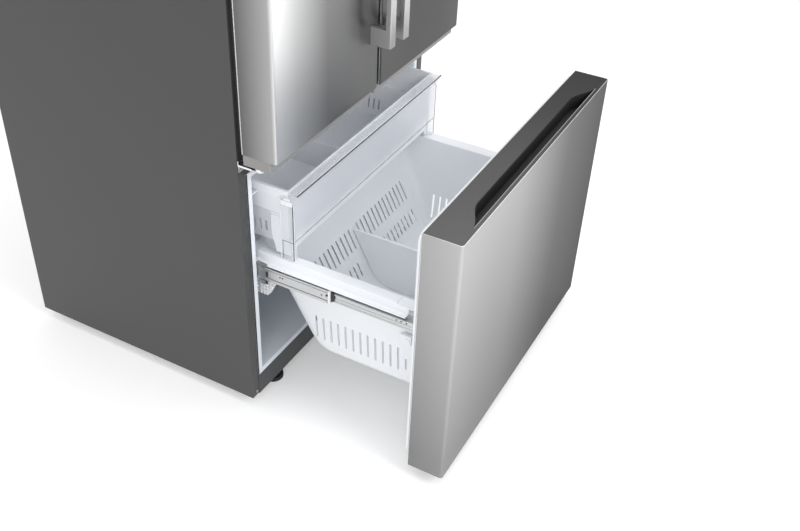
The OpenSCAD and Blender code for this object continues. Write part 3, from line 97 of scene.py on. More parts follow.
# Long fine scratches that run along one axis of the object, with broad soft bands
def brushedLinesGroup():
    group, entry, leave = newGroup("brushedLines",
        [("Lengthwise", "NodeSocketVector", (2.0, 40.0, 900.0)), ("Band scale", "NodeSocketFloat", 2.0),
         ("Contrast", "NodeSocketFloat", 0.1)],
        [("Tone", "NodeSocketFloat"), ("Height", "NodeSocketFloat")])
    place = addTo(group, "ShaderNodeTexCoord")
    stretch = addTo(group, "ShaderNodeVectorMath", operation="MULTIPLY")
    lines = addTo(group, "ShaderNodeTexNoise", {"Scale": 1.0, "Detail": 3.0, "Roughness": 0.6})
    bands = addTo(group, "ShaderNodeTexNoise", {"Detail": 1.0, "Roughness": 0.4})
    tone = addTo(group, "ShaderNodeMath", {2: 0.5}, operation="MULTIPLY_ADD")
    centre = addTo(group, "ShaderNodeMath", {1: 0.5}, operation="SUBTRACT")
    mixed = addTo(group, "ShaderNodeMath", operation="ADD")
    halved = addTo(group, "ShaderNodeMath", {1: 0.5}, operation="MULTIPLY")
    link = group.links.new
    link(place.outputs["Object"], stretch.inputs[0])
    link(entry.outputs["Lengthwise"], stretch.inputs[1])
    link(stretch.outputs["Vector"], lines.inputs["Vector"])
    link(place.outputs["Object"], bands.inputs["Vector"])
    link(entry.outputs["Band scale"], bands.inputs["Scale"])
    link(lines.outputs["Fac"], mixed.inputs[0])
    link(bands.outputs["Fac"], mixed.inputs[1])
    link(mixed.outputs["Value"], halved.inputs[0])
    link(halved.outputs["Value"], centre.inputs[0])
    link(centre.outputs["Value"], tone.inputs[0])
    link(entry.outputs["Contrast"], tone.inputs[1])
    link(tone.outputs["Value"], leave.inputs["Tone"])
    link(lines.outputs["Fac"], leave.inputs["Height"])
    return group


# Fine moulded grain with slow mottling under it
def mouldGrainGroup():
    group, entry, leave = newGroup("mouldGrain",
        [("Grain scale", "NodeSocketFloat", 900.0), ("Mottle scale", "NodeSocketFloat", 6.0),
         ("Contrast", "NodeSocketFloat", 0.06)],
        [("Tone", "NodeSocketFloat"), ("Height", "NodeSocketFloat")])
    place = addTo(group, "ShaderNodeTexCoord")
    grain = addTo(group, "ShaderNodeTexNoise", {"Detail": 2.0, "Roughness": 0.55})
    mottle = addTo(group, "ShaderNodeTexNoise", {"Detail": 2.0, "Roughness": 0.5})
    centre = addTo(group, "ShaderNodeMath", {1: 0.5}, operation="SUBTRACT")
    tone = addTo(group, "ShaderNodeMath", {2: 0.5}, operation="MULTIPLY_ADD")
    link = group.links.new
    for texture, label in ((grain, "Grain scale"), (mottle, "Mottle scale")):
        link(place.outputs["Object"], texture.inputs["Vector"])
        link(entry.outputs[label], texture.inputs["Scale"])
    link(mottle.outputs["Fac"], centre.inputs[0])
    link(centre.outputs["Value"], tone.inputs[0])
    link(entry.outputs["Contrast"], tone.inputs[1])
    link(tone.outputs["Value"], leave.inputs["Tone"])
    link(grain.outputs["Fac"], leave.inputs["Height"])
    return group


# Flowery crystals of a zinc coat
def zincSpangleGroup():
    group, entry, leave = newGroup("zincSpangle",
        [("Crystal scale", "NodeSocketFloat", 220.0), ("Contrast", "NodeSocketFloat", 0.2)],
        [("Tone", "NodeSocketFloat"), ("Height", "NodeSocketFloat")])
    place = addTo(group, "ShaderNodeTexCoord")
    crystals = addTo(group, "ShaderNodeTexVoronoi", {"Randomness": 1.0})
    grey = addTo(group, "ShaderNodeRGBToBW")
    centre = addTo(group, "ShaderNodeMath", {1: 0.5}, operation="SUBTRACT")
    tone = addTo(group, "ShaderNodeMath", {2: 0.5}, operation="MULTIPLY_ADD")
    link = group.links.new
    link(place.outputs["Object"], crystals.inputs["Vector"])
    link(entry.outputs["Crystal scale"], crystals.inputs["Scale"])
    link(crystals.outputs["Color"], grey.inputs["Color"])
    link(grey.outputs["Val"], centre.inputs[0])
    link(centre.outputs["Value"], tone.inputs[0])
    link(entry.outputs["Contrast"], tone.inputs[1])
    link(tone.outputs["Value"], leave.inputs["Tone"])
    link(crystals.outputs["Distance"], leave.inputs["Height"])
    return group


brushedLines = brushedLinesGroup()
mouldGrain = mouldGrainGroup()
zincSpangle = zincSpangleGroup()


# Radius in metres over which the shading softens an edge, and how dark the darker mottles of a tone are
edgeSoftness = {"sheet": 0.0012, "moulding": 0.0006}
darkShare = {"plastic": 0.96, "zinc": 0.8, "glass": 0.97, "clearPlastic": 0.95}


def darker(tone, kind):
    return [part * darkShare[kind] for part in tone]


# A material whose base colour runs between two tones as the group's Tone does
def tonedMaterial(name, group, groupValues, dark, light, bump, roughSpan, constants):
    material = bpy.data.materials.new(name)
    material.use_nodes = True
    tree = material.node_tree
    shader = tree.nodes["Principled BSDF"]
    effect = addTo(tree, "ShaderNodeGroup", node_tree=group)
    fillNode(effect, groupValues)
    colours = addTo(tree, "ShaderNodeMix", data_type="RGBA")
    fillNode(colours, {6: (*dark, 1.0), 7: (*light, 1.0)})      # its two colours
    shine = addTo(tree, "ShaderNodeMapRange", {"To Min": roughSpan[0], "To Max": roughSpan[1]})
    relief = addTo(tree, "ShaderNodeBump", {"Strength": bump[0], "Distance": bump[1]})
    edge = addTo(tree, "ShaderNodeBevel", {"Radius": edgeSoftness["moulding"]}, samples=4)
    link = tree.links.new
    link(effect.outputs["Tone"], colours.inputs["Factor"])
    link(colours.outputs[2], shader.inputs["Base Color"])
    link(effect.outputs["Tone"], shine.inputs["Value"])
    link(shine.outputs["Result"], shader.inputs["Roughness"])
    link(effect.outputs["Height"], relief.inputs["Height"])
    link(edge.outputs["Normal"], relief.inputs["Normal"])
    link(relief.outputs["Normal"], shader.inputs["Normal"])
    fillNode(shader, constants)
    material.diffuse_color = (*light, 1.0)
    return material


brushedLook = {
    "bandScale": 1.6,
    "lineTones": (0.88, 1.08),      # darkest and lightest line, as shares of the tone
    "bump": (0.02, 0.0002),         # strength, and depth in metres
    "glanceTint": (0.6, 0.6, 0.6, 1.0),
}


# Brushed sheet: lines along X, highlights drawn out upwards, and painted reflection and shade in the base
# colour, a slow change of tone across the face and down it. The painted cap uses it without metal, for the
# same painted shade across it.
def brushedSteel(name, sweep, lengthwise=(3.0, 60.0, 1400.0), rough=(0.3, 0.36), contrast=0.5, turn=0.25,
        metal=1.0, stretch=0.75, gleam=0.5):
    material = bpy.data.materials.new(name)
    material.use_nodes = True
    tree = material.node_tree
    shader = tree.nodes["Principled BSDF"]
    effect = addTo(tree, "ShaderNodeGroup", node_tree=brushedLines)
    fillNode(effect, {"Lengthwise": lengthwise, "Contrast": contrast, "Band scale": brushedLook["bandScale"]})
    place = addTo(tree, "ShaderNodeTexCoord")
    axes = addTo(tree, "ShaderNodeSeparateXYZ")
    across = addTo(tree, "ShaderNodeMapRange", {"From Min": sweep["from"], "From Max": sweep["to"]})
    tones = addTo(tree, "ShaderNodeValToRGB")
    stops = tones.color_ramp.elements
    for index, (spot, level) in enumerate(sweep["tones"]):
        stop = stops[index] if index < 2 else stops.new(spot)
        stop.position, stop.color = spot, (level, level, level, 1.0)
    deep = addTo(tree, "ShaderNodeMapRange", {"From Min": sweep["back"], "From Max": sweep["front"],
        "To Min": sweep["backShare"], "To Max": 1.0})
    high = addTo(tree, "ShaderNodeMapRange", {"From Min": sweep["low"], "From Max": sweep["high"],
        "To Min": sweep["lowShare"], "To Max": 1.0})
    both = addTo(tree, "ShaderNodeMath", operation="MULTIPLY")
    facing = addTo(tree, "ShaderNodeSeparateXYZ")
    leftward = addTo(tree, "ShaderNodeMapRange", {"From Min": 0.0, "From Max": -1.0,
        "To Min": 1.0, "To Max": sweep["sideShare"]})
    rightward = addTo(tree, "ShaderNodeMapRange", {"To Min": 1.0, "To Max": sweep["rightShare"]})
    aside = addTo(tree, "ShaderNodeMath", operation="MULTIPLY")
    allShares = addTo(tree, "ShaderNodeMath", operation="MULTIPLY")
    shaded = addTo(tree, "ShaderNodeVectorMath", operation="SCALE")
    darkest, lightest = brushedLook["lineTones"]
    lined = addTo(tree, "ShaderNodeMapRange", {"To Min": darkest, "To Max": lightest})
    brushed = addTo(tree, "ShaderNodeVectorMath", operation="SCALE")
    shine = addTo(tree, "ShaderNodeMapRange", {"To Min": rough[0], "To Max": rough[1]})
    strength, depth = brushedLook["bump"]
    relief = addTo(tree, "ShaderNodeBump", {"Strength": strength, "Distance": depth})
    edge = addTo(tree, "ShaderNodeBevel", {"Radius": edgeSoftness["sheet"]}, samples=4)
    tangent = addTo(tree, "ShaderNodeTangent", direction_type="RADIAL", axis="Z")
    link = tree.links.new
    link(place.outputs["Object"], axes.inputs["Vector"])
    link(axes.outputs["X"], across.inputs["Value"])
    link(axes.outputs["Y"], deep.inputs["Value"])
    link(across.outputs["Result"], tones.inputs["Fac"])
    link(tones.outputs["Color"], shaded.inputs[0])
    link(axes.outputs["Z"], high.inputs["Value"])
    link(deep.outputs["Result"], both.inputs[0])
    link(high.outputs["Result"], both.inputs[1])
    link(place.outputs["Normal"], facing.inputs["Vector"])
    link(facing.outputs["X"], leftward.inputs["Value"])
    link(facing.outputs["X"], rightward.inputs["Value"])
    link(leftward.outputs["Result"], aside.inputs[0])
    link(rightward.outputs["Result"], aside.inputs[1])
    link(both.outputs["Value"], allShares.inputs[0])
    link(aside.outputs["Value"], allShares.inputs[1])
    link(allShares.outputs["Value"], shaded.inputs["Scale"])
    link(effect.outputs["Tone"], lined.inputs["Value"])
    link(shaded.outputs["Vector"], brushed.inputs[0])
    link(lined.outputs["Result"], brushed.inputs["Scale"])
    link(brushed.outputs["Vector"], shader.inputs["Base Color"])
    link(effect.outputs["Tone"], shine.inputs["Value"])
    link(shine.outputs["Result"], shader.inputs["Roughness"])
    link(effect.outputs["Height"], relief.inputs["Height"])
    link(edge.outputs["Normal"], relief.inputs["Normal"])
    link(relief.outputs["Normal"], shader.inputs["Normal"])
    link(tangent.outputs["Tangent"], shader.inputs["Tangent"])
    fillNode(shader, {"Metallic": metal, "Anisotropic": stretch, "Anisotropic Rotation": turn,
        "Specular IOR Level": gleam, "Specular Tint": brushedLook["glanceTint"]})
    shown = sweep["tones"][0][1]
    material.diffuse_color = (shown, shown, shown, 1.0)
    return material


def plastic(name, tone, rough=(0.32, 0.38), grain=900.0, bump=(0.03, 0.0002), coat=0.0):
    pattern = {"Grain scale": grain, "Mottle scale": 5.0, "Contrast": 0.8}
    return tonedMaterial(name, mouldGrain, pattern, darker(tone, "plastic"), tone, bump, rough,
        {"Coat Weight": coat, "IOR": 1.49})


def zinc(name, tone, rough=(0.32, 0.42), scale=240.0, bump=(0.02, 0.0002)):
    pattern = {"Crystal scale": scale, "Contrast": 0.8}
    return tonedMaterial(name, zincSpangle, pattern, darker(tone, "zinc"), tone, bump, rough,
        {"Metallic": 1.0})


# Glass that bends light
def clearGlass(name, tint, rough=0.03, ior=1.49, bump=(0.02, 0.0005), roughSpread=0.02):
    pattern = {"Grain scale": 40.0, "Mottle scale": 9.0, "Contrast": 1.0}
    material = tonedMaterial(name, mouldGrain, pattern, darker(tint, "glass"), tint, bump,
        (rough, rough + roughSpread), {"IOR": ior, "Transmission Weight": 1.0})
    material.diffuse_color = (*tint, 0.4)
    return material


# Thin clear plastic: see-through face on, milky where it is seen along its walls
clearLook = {
    "thin": 0.12, "thick": 0.6,     # opacity face on and along a wall
    "blend": 0.3, "rough": (0.05, 0.09), "bump": (0.02, 0.0004), "ior": 1.45,
}


def clearPlastic(name, tint):
    pattern = {"Grain scale": 60.0, "Mottle scale": 7.0, "Contrast": 1.0}
    material = tonedMaterial(name, mouldGrain, pattern, darker(tint, "clearPlastic"), tint,
        clearLook["bump"], clearLook["rough"], {"IOR": clearLook["ior"]})
    tree = material.node_tree
    facing = addTo(tree, "ShaderNodeLayerWeight", {"Blend": clearLook["blend"]})
    veil = addTo(tree, "ShaderNodeMapRange", {"To Min": clearLook["thin"], "To Max": clearLook["thick"]})
    tree.links.new(facing.outputs["Facing"], veil.inputs["Value"])
    tree.links.new(veil.outputs["Result"], tree.nodes["Principled BSDF"].inputs["Alpha"])
    material.diffuse_color = (*tint, 0.4)
    return material


# Painted reflection and shade of the brushed pieces, places in metres: "tones" runs from "from" to "to" along
# X, and its first two entries are the ends. The shares scale this painted tone at the back, low down, and on
# faces turned left or right.
drawerPaintedSheen = {
    "from": -0.454, "to": 0.454, "back": -0.56, "front": -0.655, "backShare": 0.82,
    "low": 0.1, "high": 0.72, "lowShare": 0.62,
    "sideShare": 0.78, "rightShare": 4.2,
    "tones": [(0.0, 0.6), (1.0, 0.085), (0.35, 0.48), (0.7, 0.19)],
}
leftDoorPaintedSheen = {
    "from": -0.454, "to": -0.004, "back": -0.105, "front": -0.197, "backShare": 0.32,
    "low": 0.8, "high": 1.2, "lowShare": 0.94,
    "sideShare": 0.46, "rightShare": 1.0,
    "tones": [(0.0, 0.97), (1.0, 0.18), (0.2, 0.6), (0.48, 0.27)],
}
rightDoorPaintedSheen = {
    "from": 0.004, "to": 0.454, "back": -0.105, "front": -0.197, "backShare": 0.8,
    "low": 0.8, "high": 1.2, "lowShare": 0.94,
    "sideShare": 0.8, "rightShare": 2.4,
    "tones": [(0.0, 0.15), (1.0, 0.17), (0.4, 0.13), (0.75, 0.14)],
}
plainSweep = {
    "from": -0.454, "to": 0.454, "back": -0.15, "front": -0.2, "backShare": 1.0,
    "low": 0.0, "high": 1.0, "lowShare": 1.0,
    "sideShare": 1.0, "rightShare": 1.0,
    "tones": [(0.0, 0.62), (1.0, 0.56), (0.4, 0.58), (0.7, 0.6)],
}
capPaintedShade = {
    "from": -0.454, "to": 0.454, "back": -0.56, "front": -0.655, "backShare": 1.0,
    "low": 0.0, "high": 1.0, "lowShare": 1.0,
    "sideShare": 1.0, "rightShare": 1.0,
    "tones": [(0.0, 0.1), (1.0, 0.01), (0.4, 0.068), (0.75, 0.026)],
}
highlightAndBrightSweep = {
    "from": -0.454, "to": 0.454, "back": -0.15, "front": -0.2, "backShare": 1.0,
    "low": 0.0, "high": 1.0, "lowShare": 1.0,
    "sideShare": 1.0, "rightShare": 1.0,
    "tones": [(0.0, 0.93), (1.0, 0.84), (0.4, 0.9), (0.7, 0.88)],
}

finishes = {
    "side_grey": plastic("sidePaint", (0.052, 0.052, 0.053), rough=(0.42, 0.48), grain=1400.0, coat=0.06),
    "zinc_steel": zinc("zincSheet", (0.5, 0.51, 0.52)),
    "dark_plastic": plastic("kickPlastic", (0.055, 0.057, 0.06), rough=(0.45, 0.55)),
    "foam": plastic("pouredFoam", (0.78, 0.72, 0.5), rough=(0.8, 0.9), grain=300.0, bump=(0.3, 0.0006)),
    "liner_white": plastic("linerWhite", (0.82, 0.86, 0.92), rough=(0.28, 0.34)),
    "slide_steel": zinc("slideSteel", (0.62, 0.63, 0.64), rough=(0.3, 0.38), scale=500.0),
    "white_plastic": plastic("whitePlastic", (0.88, 0.89, 0.91), rough=(0.4, 0.48)),
    "shelf_glass": clearGlass("shelfGlass", (0.86, 0.95, 0.94), ior=1.5),
    "clear_plastic": clearPlastic("clearPlastic", (0.88, 0.9, 0.96)),
    "lens": clearGlass("lampLens", (0.97, 0.97, 0.95), rough=0.35),
    "black_plastic": plastic("blackPlastic", (0.018, 0.018, 0.02), rough=(0.4, 0.5)),
    "coil_metal": zinc("coilAluminium", (0.62, 0.63, 0.65), rough=(0.3, 0.4)),
    "compressor_black": plastic("compressorPaint", (0.02, 0.02, 0.022), rough=(0.25, 0.32), coat=0.3),
    "foot_rubber": plastic("footRubber", (0.015, 0.015, 0.016), rough=(0.55, 0.65)),
    "roller_plastic": plastic("rollerPlastic", (0.05, 0.05, 0.055), rough=(0.5, 0.6)),
    "stainless": brushedSteel("drawerSteel", drawerPaintedSheen),
    "cap_grey": plastic("capGrey", (0.135, 0.137, 0.141), rough=(0.42, 0.48), coat=0.03),
    "cap_silver": plastic("capSilver", (0.27, 0.266, 0.262), rough=(0.38, 0.44), coat=0.05),
    "gasket_white": plastic("gasketWhite", (0.88, 0.89, 0.91), rough=(0.5, 0.6)),
    "gasket_grey": plastic("gasketGrey", (0.035, 0.035, 0.038), rough=(0.55, 0.65)),
    "basket_white": plastic("basketWhite", (0.91, 0.93, 0.96), rough=(0.34, 0.4)),
    "handle_steel": brushedSteel("handleSteel", plainSweep, lengthwise=(1400.0, 60.0, 3.0), turn=0.0),
    "mullion_grey": plastic("mullionGrey", (0.12, 0.12, 0.125), rough=(0.45, 0.55)),
}
leftDoorSteel = brushedSteel("leftDoorSteel", leftDoorPaintedSheen)
rightDoorSteel = brushedSteel("rightDoorSteel", rightDoorPaintedSheen)
clipZinc = zinc("clipZinc", (0.36, 0.37, 0.38), rough=(0.4, 0.5), scale=500.0)
capPaint = brushedSteel("capPaint", capPaintedShade, rough=(0.42, 0.48), contrast=0.2, metal=0.0, stretch=0.0,
    gleam=0.25)
# near-white steel: painted highlight on the hems, folds and slide edges, and the hinge parts' own bright
# steel
brightSteelAndHighlight = brushedSteel("brightSteelAndHighlight", highlightAndBrightSweep, rough=(0.4, 0.45), contrast=0.2)
# near-black: painted shade in the finger pocket, the door gap and the trim joint
paintedShadeBlack = plastic("paintedShadeBlack", (0.016, 0.016, 0.018), rough=(0.5, 0.6))
# dark lines painted along the clear pane's edges and foot frames as shade where light bends
clearEdgeShade = plastic("clearEdgeShade", (0.05, 0.053, 0.065), rough=(0.2, 0.3))
lineShade = plastic("lineShade", (0.36, 0.38, 0.42), rough=(0.45, 0.55))
clearGlint = plastic("clearGlint", (0.93, 0.94, 0.97), rough=(0.2, 0.3))
print("finishes for the slots made:", len(finishes))

slotOf = {entry["node"]: entry["material_slot"] for entry in frame["record"]["subparts"]}
bodyOf = {node: body for body, nodes in frame["record"]["behaviour"]["bodies"].items() for node in nodes}


# Places in millimetres, measured from the cabinet's front flange as in the part's source
restOffsets = {
    "cabinet": -90.0, "door_left": -90.0, "door_right": -90.0, "drawer": -548.0, "slide_middle": -319.0,
    "tray": -235.7,
}

# Angles in degrees, distances in metres
meshLook = {
    "smoothBelow": 40.0,    # edges flatter than this are shaded smooth
    "roundAbove": 30.0,     # edges of a frame solid sharper than this are rounded
    "bevelAbove": 35.0,     # the same for a drawn piece
    "flatBelow": 0.6,       # faces this close to one plane become one face
    "weld": 0.00002,
}


def finishMesh(bm, name):
    bmesh.ops.recalc_face_normals(bm, faces=bm.faces)
    for face in bm.faces:
        face.smooth = True
    limit = math.radians(meshLook["smoothBelow"])
    for edge in bm.edges:
        edge.smooth = len(edge.link_faces) == 2 and edge.calc_face_angle(0.0) < limit
    mesh = bpy.data.meshes.new(name)
    bm.to_mesh(mesh)
    bm.free()
    return mesh


def addPiece(name, mesh, body, slotName, replaced=(), material=None):
    piece = bpy.data.objects.new(name, mesh)
    sceneNow.collection.objects.link(piece)
    mesh.materials.clear()
    mesh.materials.append(material or finishes[slotName])
    weights = piece.modifiers.new("evenNormals", "WEIGHTED_NORMAL")
    weights.keep_sharp = True
    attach(piece, body)
    if replaced:
        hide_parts(*replaced)


def sharpEdges(bm, degrees):
    limit = math.radians(degrees)
    return [e for e in bm.edges if len(e.link_faces) == 2 and e.calc_face_angle(0.0) > limit]


def bevelEdges(bm, edges, width):
    bmesh.ops.bevel(bm, geom=edges, offset=width, offset_type="OFFSET", segments=2, profile=0.5,
        affect="EDGES", clamp_overlap=True)


# The frame's own solid with its edges rounded as moulded or folded parts have them, width in metres
def roundedFrom(node, name, width):
    bm = bmesh.new()
    bm.from_mesh(frame["nodes"][node].data)
    bmesh.ops.remove_doubles(bm, verts=bm.verts, dist=meshLook["weld"])
    flat = math.radians(meshLook["flatBelow"])
    bmesh.ops.dissolve_limit(bm, angle_limit=flat, verts=bm.verts, edges=bm.edges)
    bevelEdges(bm, sharpEdges(bm, meshLook["roundAbove"]), width)
    addPiece(name, finishMesh(bm, name), bodyOf[node], slotOf[node], (node,))


# Solid between two heights of an axis, from an outline in the two other axes
def along(bm, axis, low, high, outline):
    order = {"x": (2, 0, 1), "y": (0, 2, 1), "z": (0, 1, 2)}[axis]

    def ring(level):
        return [bm.verts.new([(a, b, level)[k] for k in order]) for a, b in outline]

    first, last = ring(low), ring(high)
    count = len(outline)
    bm.faces.new(first)
    bm.faces.new(reversed(last))
    for i in range(count):
        bm.faces.new((first[i], last[i], last[(i + 1) % count], first[(i + 1) % count]))


def block(bm, low, high):
    corners = [(low[0], low[1]), (high[0], low[1]), (high[0], high[1]), (low[0], high[1])]
    along(bm, "z", low[2], high[2], corners)


def disc(bm, axis, low, high, centre, radius, count=24):
    turns = [2 * math.pi * i / count for i in range(count)]
    along(bm, axis, low, high, [(centre[0] + radius * math.cos(turn), centre[1] + radius * math.sin(turn))
        for turn in turns])


# Boxes are given by two opposite corners
def drawBoxes(bm, look):
    for low, high in look["boxes"]:
        block(bm, low, high)


# Plates by both ends along X and their outline seen from the side
def drawPlates(bm, look):
    for low, high, outline in look["plates"]:
        along(bm, "x", low, high, outline)


# Rails by both ends along Y and their outline seen from the front
def drawRails(bm, look):
    for outline in look["outlines"]:
        along(bm, "y", look["from"], look["to"], outline)


# Discs by both ends, centre and radius
def drawDiscs(bm, look):
    for low, high, centre, radius in look["discs"]:
        disc(bm, look["axis"], low, high, centre, radius, look["sides"])


# Turns a drawing in millimetres into a piece in metres. look["edge"] rounds it, both=True adds its mirror
# image.
def makePiece(name, body, slotName, draw, look, both=False, material=None, replaced=()):
    bm = bmesh.new()
    draw(bm, look)
    if both:
        twin = bmesh.ops.duplicate(bm, geom=bm.verts[:] + bm.edges[:] + bm.faces[:])
        for item in twin["geom"]:
            if isinstance(item, bmesh.types.BMVert):
                item.co.x = -item.co.x
    if "edge" in look:
        sharp = sharpEdges(bm, meshLook["bevelAbove"])
        bmesh.ops.recalc_face_normals(bm, faces=bm.faces)
        bevelEdges(bm, sharp, look["edge"])
    shift = restOffsets[body]
    for vert in bm.verts:
        vert.co = Vector((vert.co.x, vert.co.y + shift, vert.co.z)) / 1000.0
    addPiece(name, finishMesh(bm, name), body, slotName, replaced, material)


# Slides: rolled beads on the two moving members, with a dark line of painted shade beside each bead and a
# bright strip of painted highlight on each flange edge
midBeads = {
    "face": -401.4, "root": 0.2, "proud": 1.3, "slope": 0.9, "from": 26.0, "to": 452.0,
    "levels": [(411.4, 418.6), (444.4, 448.6)],
}
drawerBeads = {
    "face": -396.0, "root": 0.2, "proud": 1.3, "slope": 0.7, "from": 5.0, "to": 452.0,
    "levels": [(417.4, 422.6), (430.0, 431.6), (438.6, 442.6)],
}
beadShades = {
    "face": -401.4, "root": 0.2, "proud": 0.35, "from": 26.0, "to": 452.0,
    "levels": [(418.6, 420.0), (442.8, 444.4)],
}
flangeHighlights = {
    "face": -401.4, "root": 0.3, "proud": 1.2, "from": 24.5, "to": 452.0,
    "levels": [(448.4, 449.2), (410.8, 411.6)],
}


def drawBeads(bm, look):
    root, crest, slope = look["face"] + look["root"], look["face"] - look["proud"], look["slope"]
    for low, high in look["levels"]:
        outline = [(root, low), (crest, low + slope), (crest, high - slope), (root, high)]
        along(bm, "y", look["from"], look["to"], outline)


def drawFaceLines(bm, look):
    root, crest = look["face"] + look["root"], look["face"] - look["proud"]
    for low, high in look["levels"]:
        block(bm, (crest, look["from"], low), (root, look["to"], high))


makePiece("slideMidBeads", "slide_middle", "slide_steel", drawBeads, midBeads, both=True)
makePiece("slideBeadShades", "slide_middle", "slide_steel", drawFaceLines, beadShades, both=True,
    material=finishes["cap_grey"])
makePiece("slideFlangeHighlights", "slide_middle", "slide_steel", drawFaceLines, flangeHighlights, both=True,
    material=brightSteelAndHighlight)
makePiece("slideDrawerBeads", "drawer", "slide_steel", drawBeads, drawerBeads, both=True)


# Slides: end stop, latch, rivet holes drawn as black discs of painted shade, top slots as thin black strips
# of painted shade, and the steel clip over the carriage block
endStop = {"edge": 0.6, "boxes": [((-402.6, 18.6, 411.6), (-387.0, 23.8, 448.6))]}
latch = {
    "edge": 0.5,
    "plates": [(-398.6, -388.0, [(17.8, 416.0), (9.0, 421.0), (6.5, 436.0), (11.0, 446.0), (17.8, 447.5)])],
}
memberHoleShades = {
    "axis": "x", "sides": 24,
    "discs": [
        (-402.95, -401.3, (27.6, 434.8), 2.9),
        (-401.9, -401.3, (155.0, 434.6), 2.1), (-401.9, -401.3, (162.5, 434.6), 2.1),
    ],
}
drawerHoleShades = {
    "axis": "x", "sides": 24,
    "discs": [(-396.5, -395.9, (y, 436.0), 2.0) for y in (42.0, 56.0, 68.5)],
}
topSlotShade = {"boxes": [((-399.5, 160.0, 448.8), (-387.5, 192.0, 449.15))]}
rearClip = {
    "boxes": [
        ((-402.6, 198.0, 422.6), (-401.3, 203.5, 437.6)),
        ((-402.6, 199.5, 411.6), (-401.3, 204.5, 417.6)),
        ((-401.6, 201.0, 398.0), (-399.0, 206.0, 408.6)),
    ],
}
clipPlate = {
    "edge": 0.35,
    "plates": [
        (-403.0, -401.5,
            [(205.0, 411.4), (205.0, 448.6), (236.0, 448.6), (233.0, 440.0), (226.0, 431.0), (224.0, 411.4)]),
        (-403.0, -399.6, [(200.0, 451.5), (200.0, 460.0), (226.0, 463.0), (236.0, 452.0)]),
        (-403.0, -390.0, [(207.0, 396.0), (205.5, 408.6), (224.0, 408.6), (223.4, 396.0)]),
    ],
}

makePiece("slideEndStops", "slide_middle", "white_plastic", drawBoxes, endStop, both=True)
makePiece("slideLatches", "slide_middle", "black_plastic", drawPlates, latch, both=True)
makePiece("slideHoleShades", "slide_middle", "black_plastic", drawDiscs, memberHoleShades, both=True)
makePiece("slideDrawerHoleShades", "drawer", "black_plastic", drawDiscs, drawerHoleShades, both=True)
makePiece("slideTopSlotShades", "slide_middle", "black_plastic", drawBoxes, topSlotShade, both=True)
makePiece("slideRearClips", "slide_middle", "black_plastic", drawBoxes, rearClip, both=True)
makePiece("slideClipPlates", "slide_middle", "slide_steel", drawPlates, clipPlate, both=True,
    material=clipZinc)


# Carriage block: a plate with a chamfered nose and a moulded grid of ribs on its outer face
carriageBlock = {
    "inner": -374.7, "outer": -382.0, "ribFace": -387.7,    # the plate's two faces and the ribs' ends
    "front": 191.0, "back": 244.0, "low": 349.0, "top": 411.0,
    "noseTop": 388.0, "noseCorner": (208.5, 353.0), "noseEnd": 214.0, "noseSlope": 2.0,
    "ribThick": 1.7, "ribGap": 1.0,
    "uprights": (191.4, 201.5, 211.5, 221.5, 231.5, 241.8), "uprightRoot": 0.1,
    "levels": (350.2, 360.0, 371.0, 382.0, 393.0, 404.0, 409.2), "levelRoot": 0.08, "levelSet": 0.02,
    "levelFrom": 191.4, "levelTo": 243.4,
    "bossPlace": (217.5, 380.0), "bossRadius": 11.5, "bossBack": 0.2, "bossProud": 1.2,
}


def drawCarriage(bm, look):
    front, back, low, top = look["front"], look["back"], look["low"], look["top"]
    inner, outer, ribFace, thick = look["inner"], look["outer"], look["ribFace"], look["ribThick"]
    noseTop, noseEnd, slope = look["noseTop"], look["noseEnd"], look["noseSlope"]
    along(bm, "x", outer, inner,
        [(front, top), (back, top), (back, low), (noseEnd, low), look["noseCorner"], (front, noseTop)])
    for y in look["uprights"]:
        end = y + thick
        foot = low if end > noseEnd else noseTop - (end - front) * slope
        block(bm, (ribFace, y, max(low, foot) + look["ribGap"]), (outer + look["uprightRoot"], end, top))
    for z in look["levels"]:
        start = look["levelFrom"]
        if z <= noseTop:
            start += (noseTop - z) / slope + look["ribGap"]
        block(bm, (ribFace + look["levelSet"], start, z),
            (outer + look["levelRoot"], look["levelTo"], z + thick))
    disc(bm, "x", inner - look["bossBack"], inner + look["bossProud"], look["bossPlace"], look["bossRadius"])


makePiece("carriageBlocks", "slide_middle", "white_plastic", drawCarriage, carriageBlock, both=True,
    replaced=("slide_carriage_blocks",))
print("slides ready")


# Basket: softened moulding, a raised crown along the side rims, and a clip box low on the side
rimCrown = {
    "edge": 0.5, "from": 78.0, "to": 474.0,
    "outlines": [[(-380.6, 469.8), (-380.6, 472.6), (-378.8, 474.2), (-361.0, 473.2), (-349.4, 471.0),
        (-348.4, 469.8)]],
}
sideClip = {
    "edge": 1.2,
    "boxes": [((-355.5, 47.0, 331.0), (-347.0, 77.0, 360.0)), ((-357.0, 50.0, 341.0), (-355.0, 66.0, 350.0))],
}

roundedFrom("freezer_basket", "basketMoulding", width=0.0009)
makePiece("basketRimCrown", "drawer", "basket_white", drawRails, rimCrown, both=True)
makePiece("basketSideClips", "drawer", "basket_white", drawBoxes, sideClip, both=True)
roundedFrom("basket_divider", "dividerMoulding", width=0.0008)
print("basket ready")


# Upper tray: outer face of its left wall at a place given in millimetres
def trayWallAt(look, y, z):
    start = Vector((look["castFrom"], y + restOffsets["tray"], z)) / 1000.0
    found, place, _, _ = frame["nodes"]["freezer_tray"].ray_cast(start, Vector((1.0, 0.0, 0.0)))
    return place.x * 1000.0 if found else look["plainWall"]


# Fine shade lines under the rim band and along the step of the side wall
sideLines = {
    "levels": (646.8, 594.6, 587.0), "from": 96.0, "to": 440.0, "steps": 12,
    "thick": 0.7, "proud": 0.25, "root": 0.4, "castFrom": -600.0, "plainWall": -371.1,
}


def drawSideLines(bm, look):
    span = (look["to"] - look["from"]) / look["steps"]
    for level in look["levels"]:
        for i in range(look["steps"]):
            y = look["from"] + i * span
            x = trayWallAt(look, y + span / 2.0, level)
            block(bm, (x - look["proud"], y, level), (x + look["root"], y + span, level + look["thick"]))
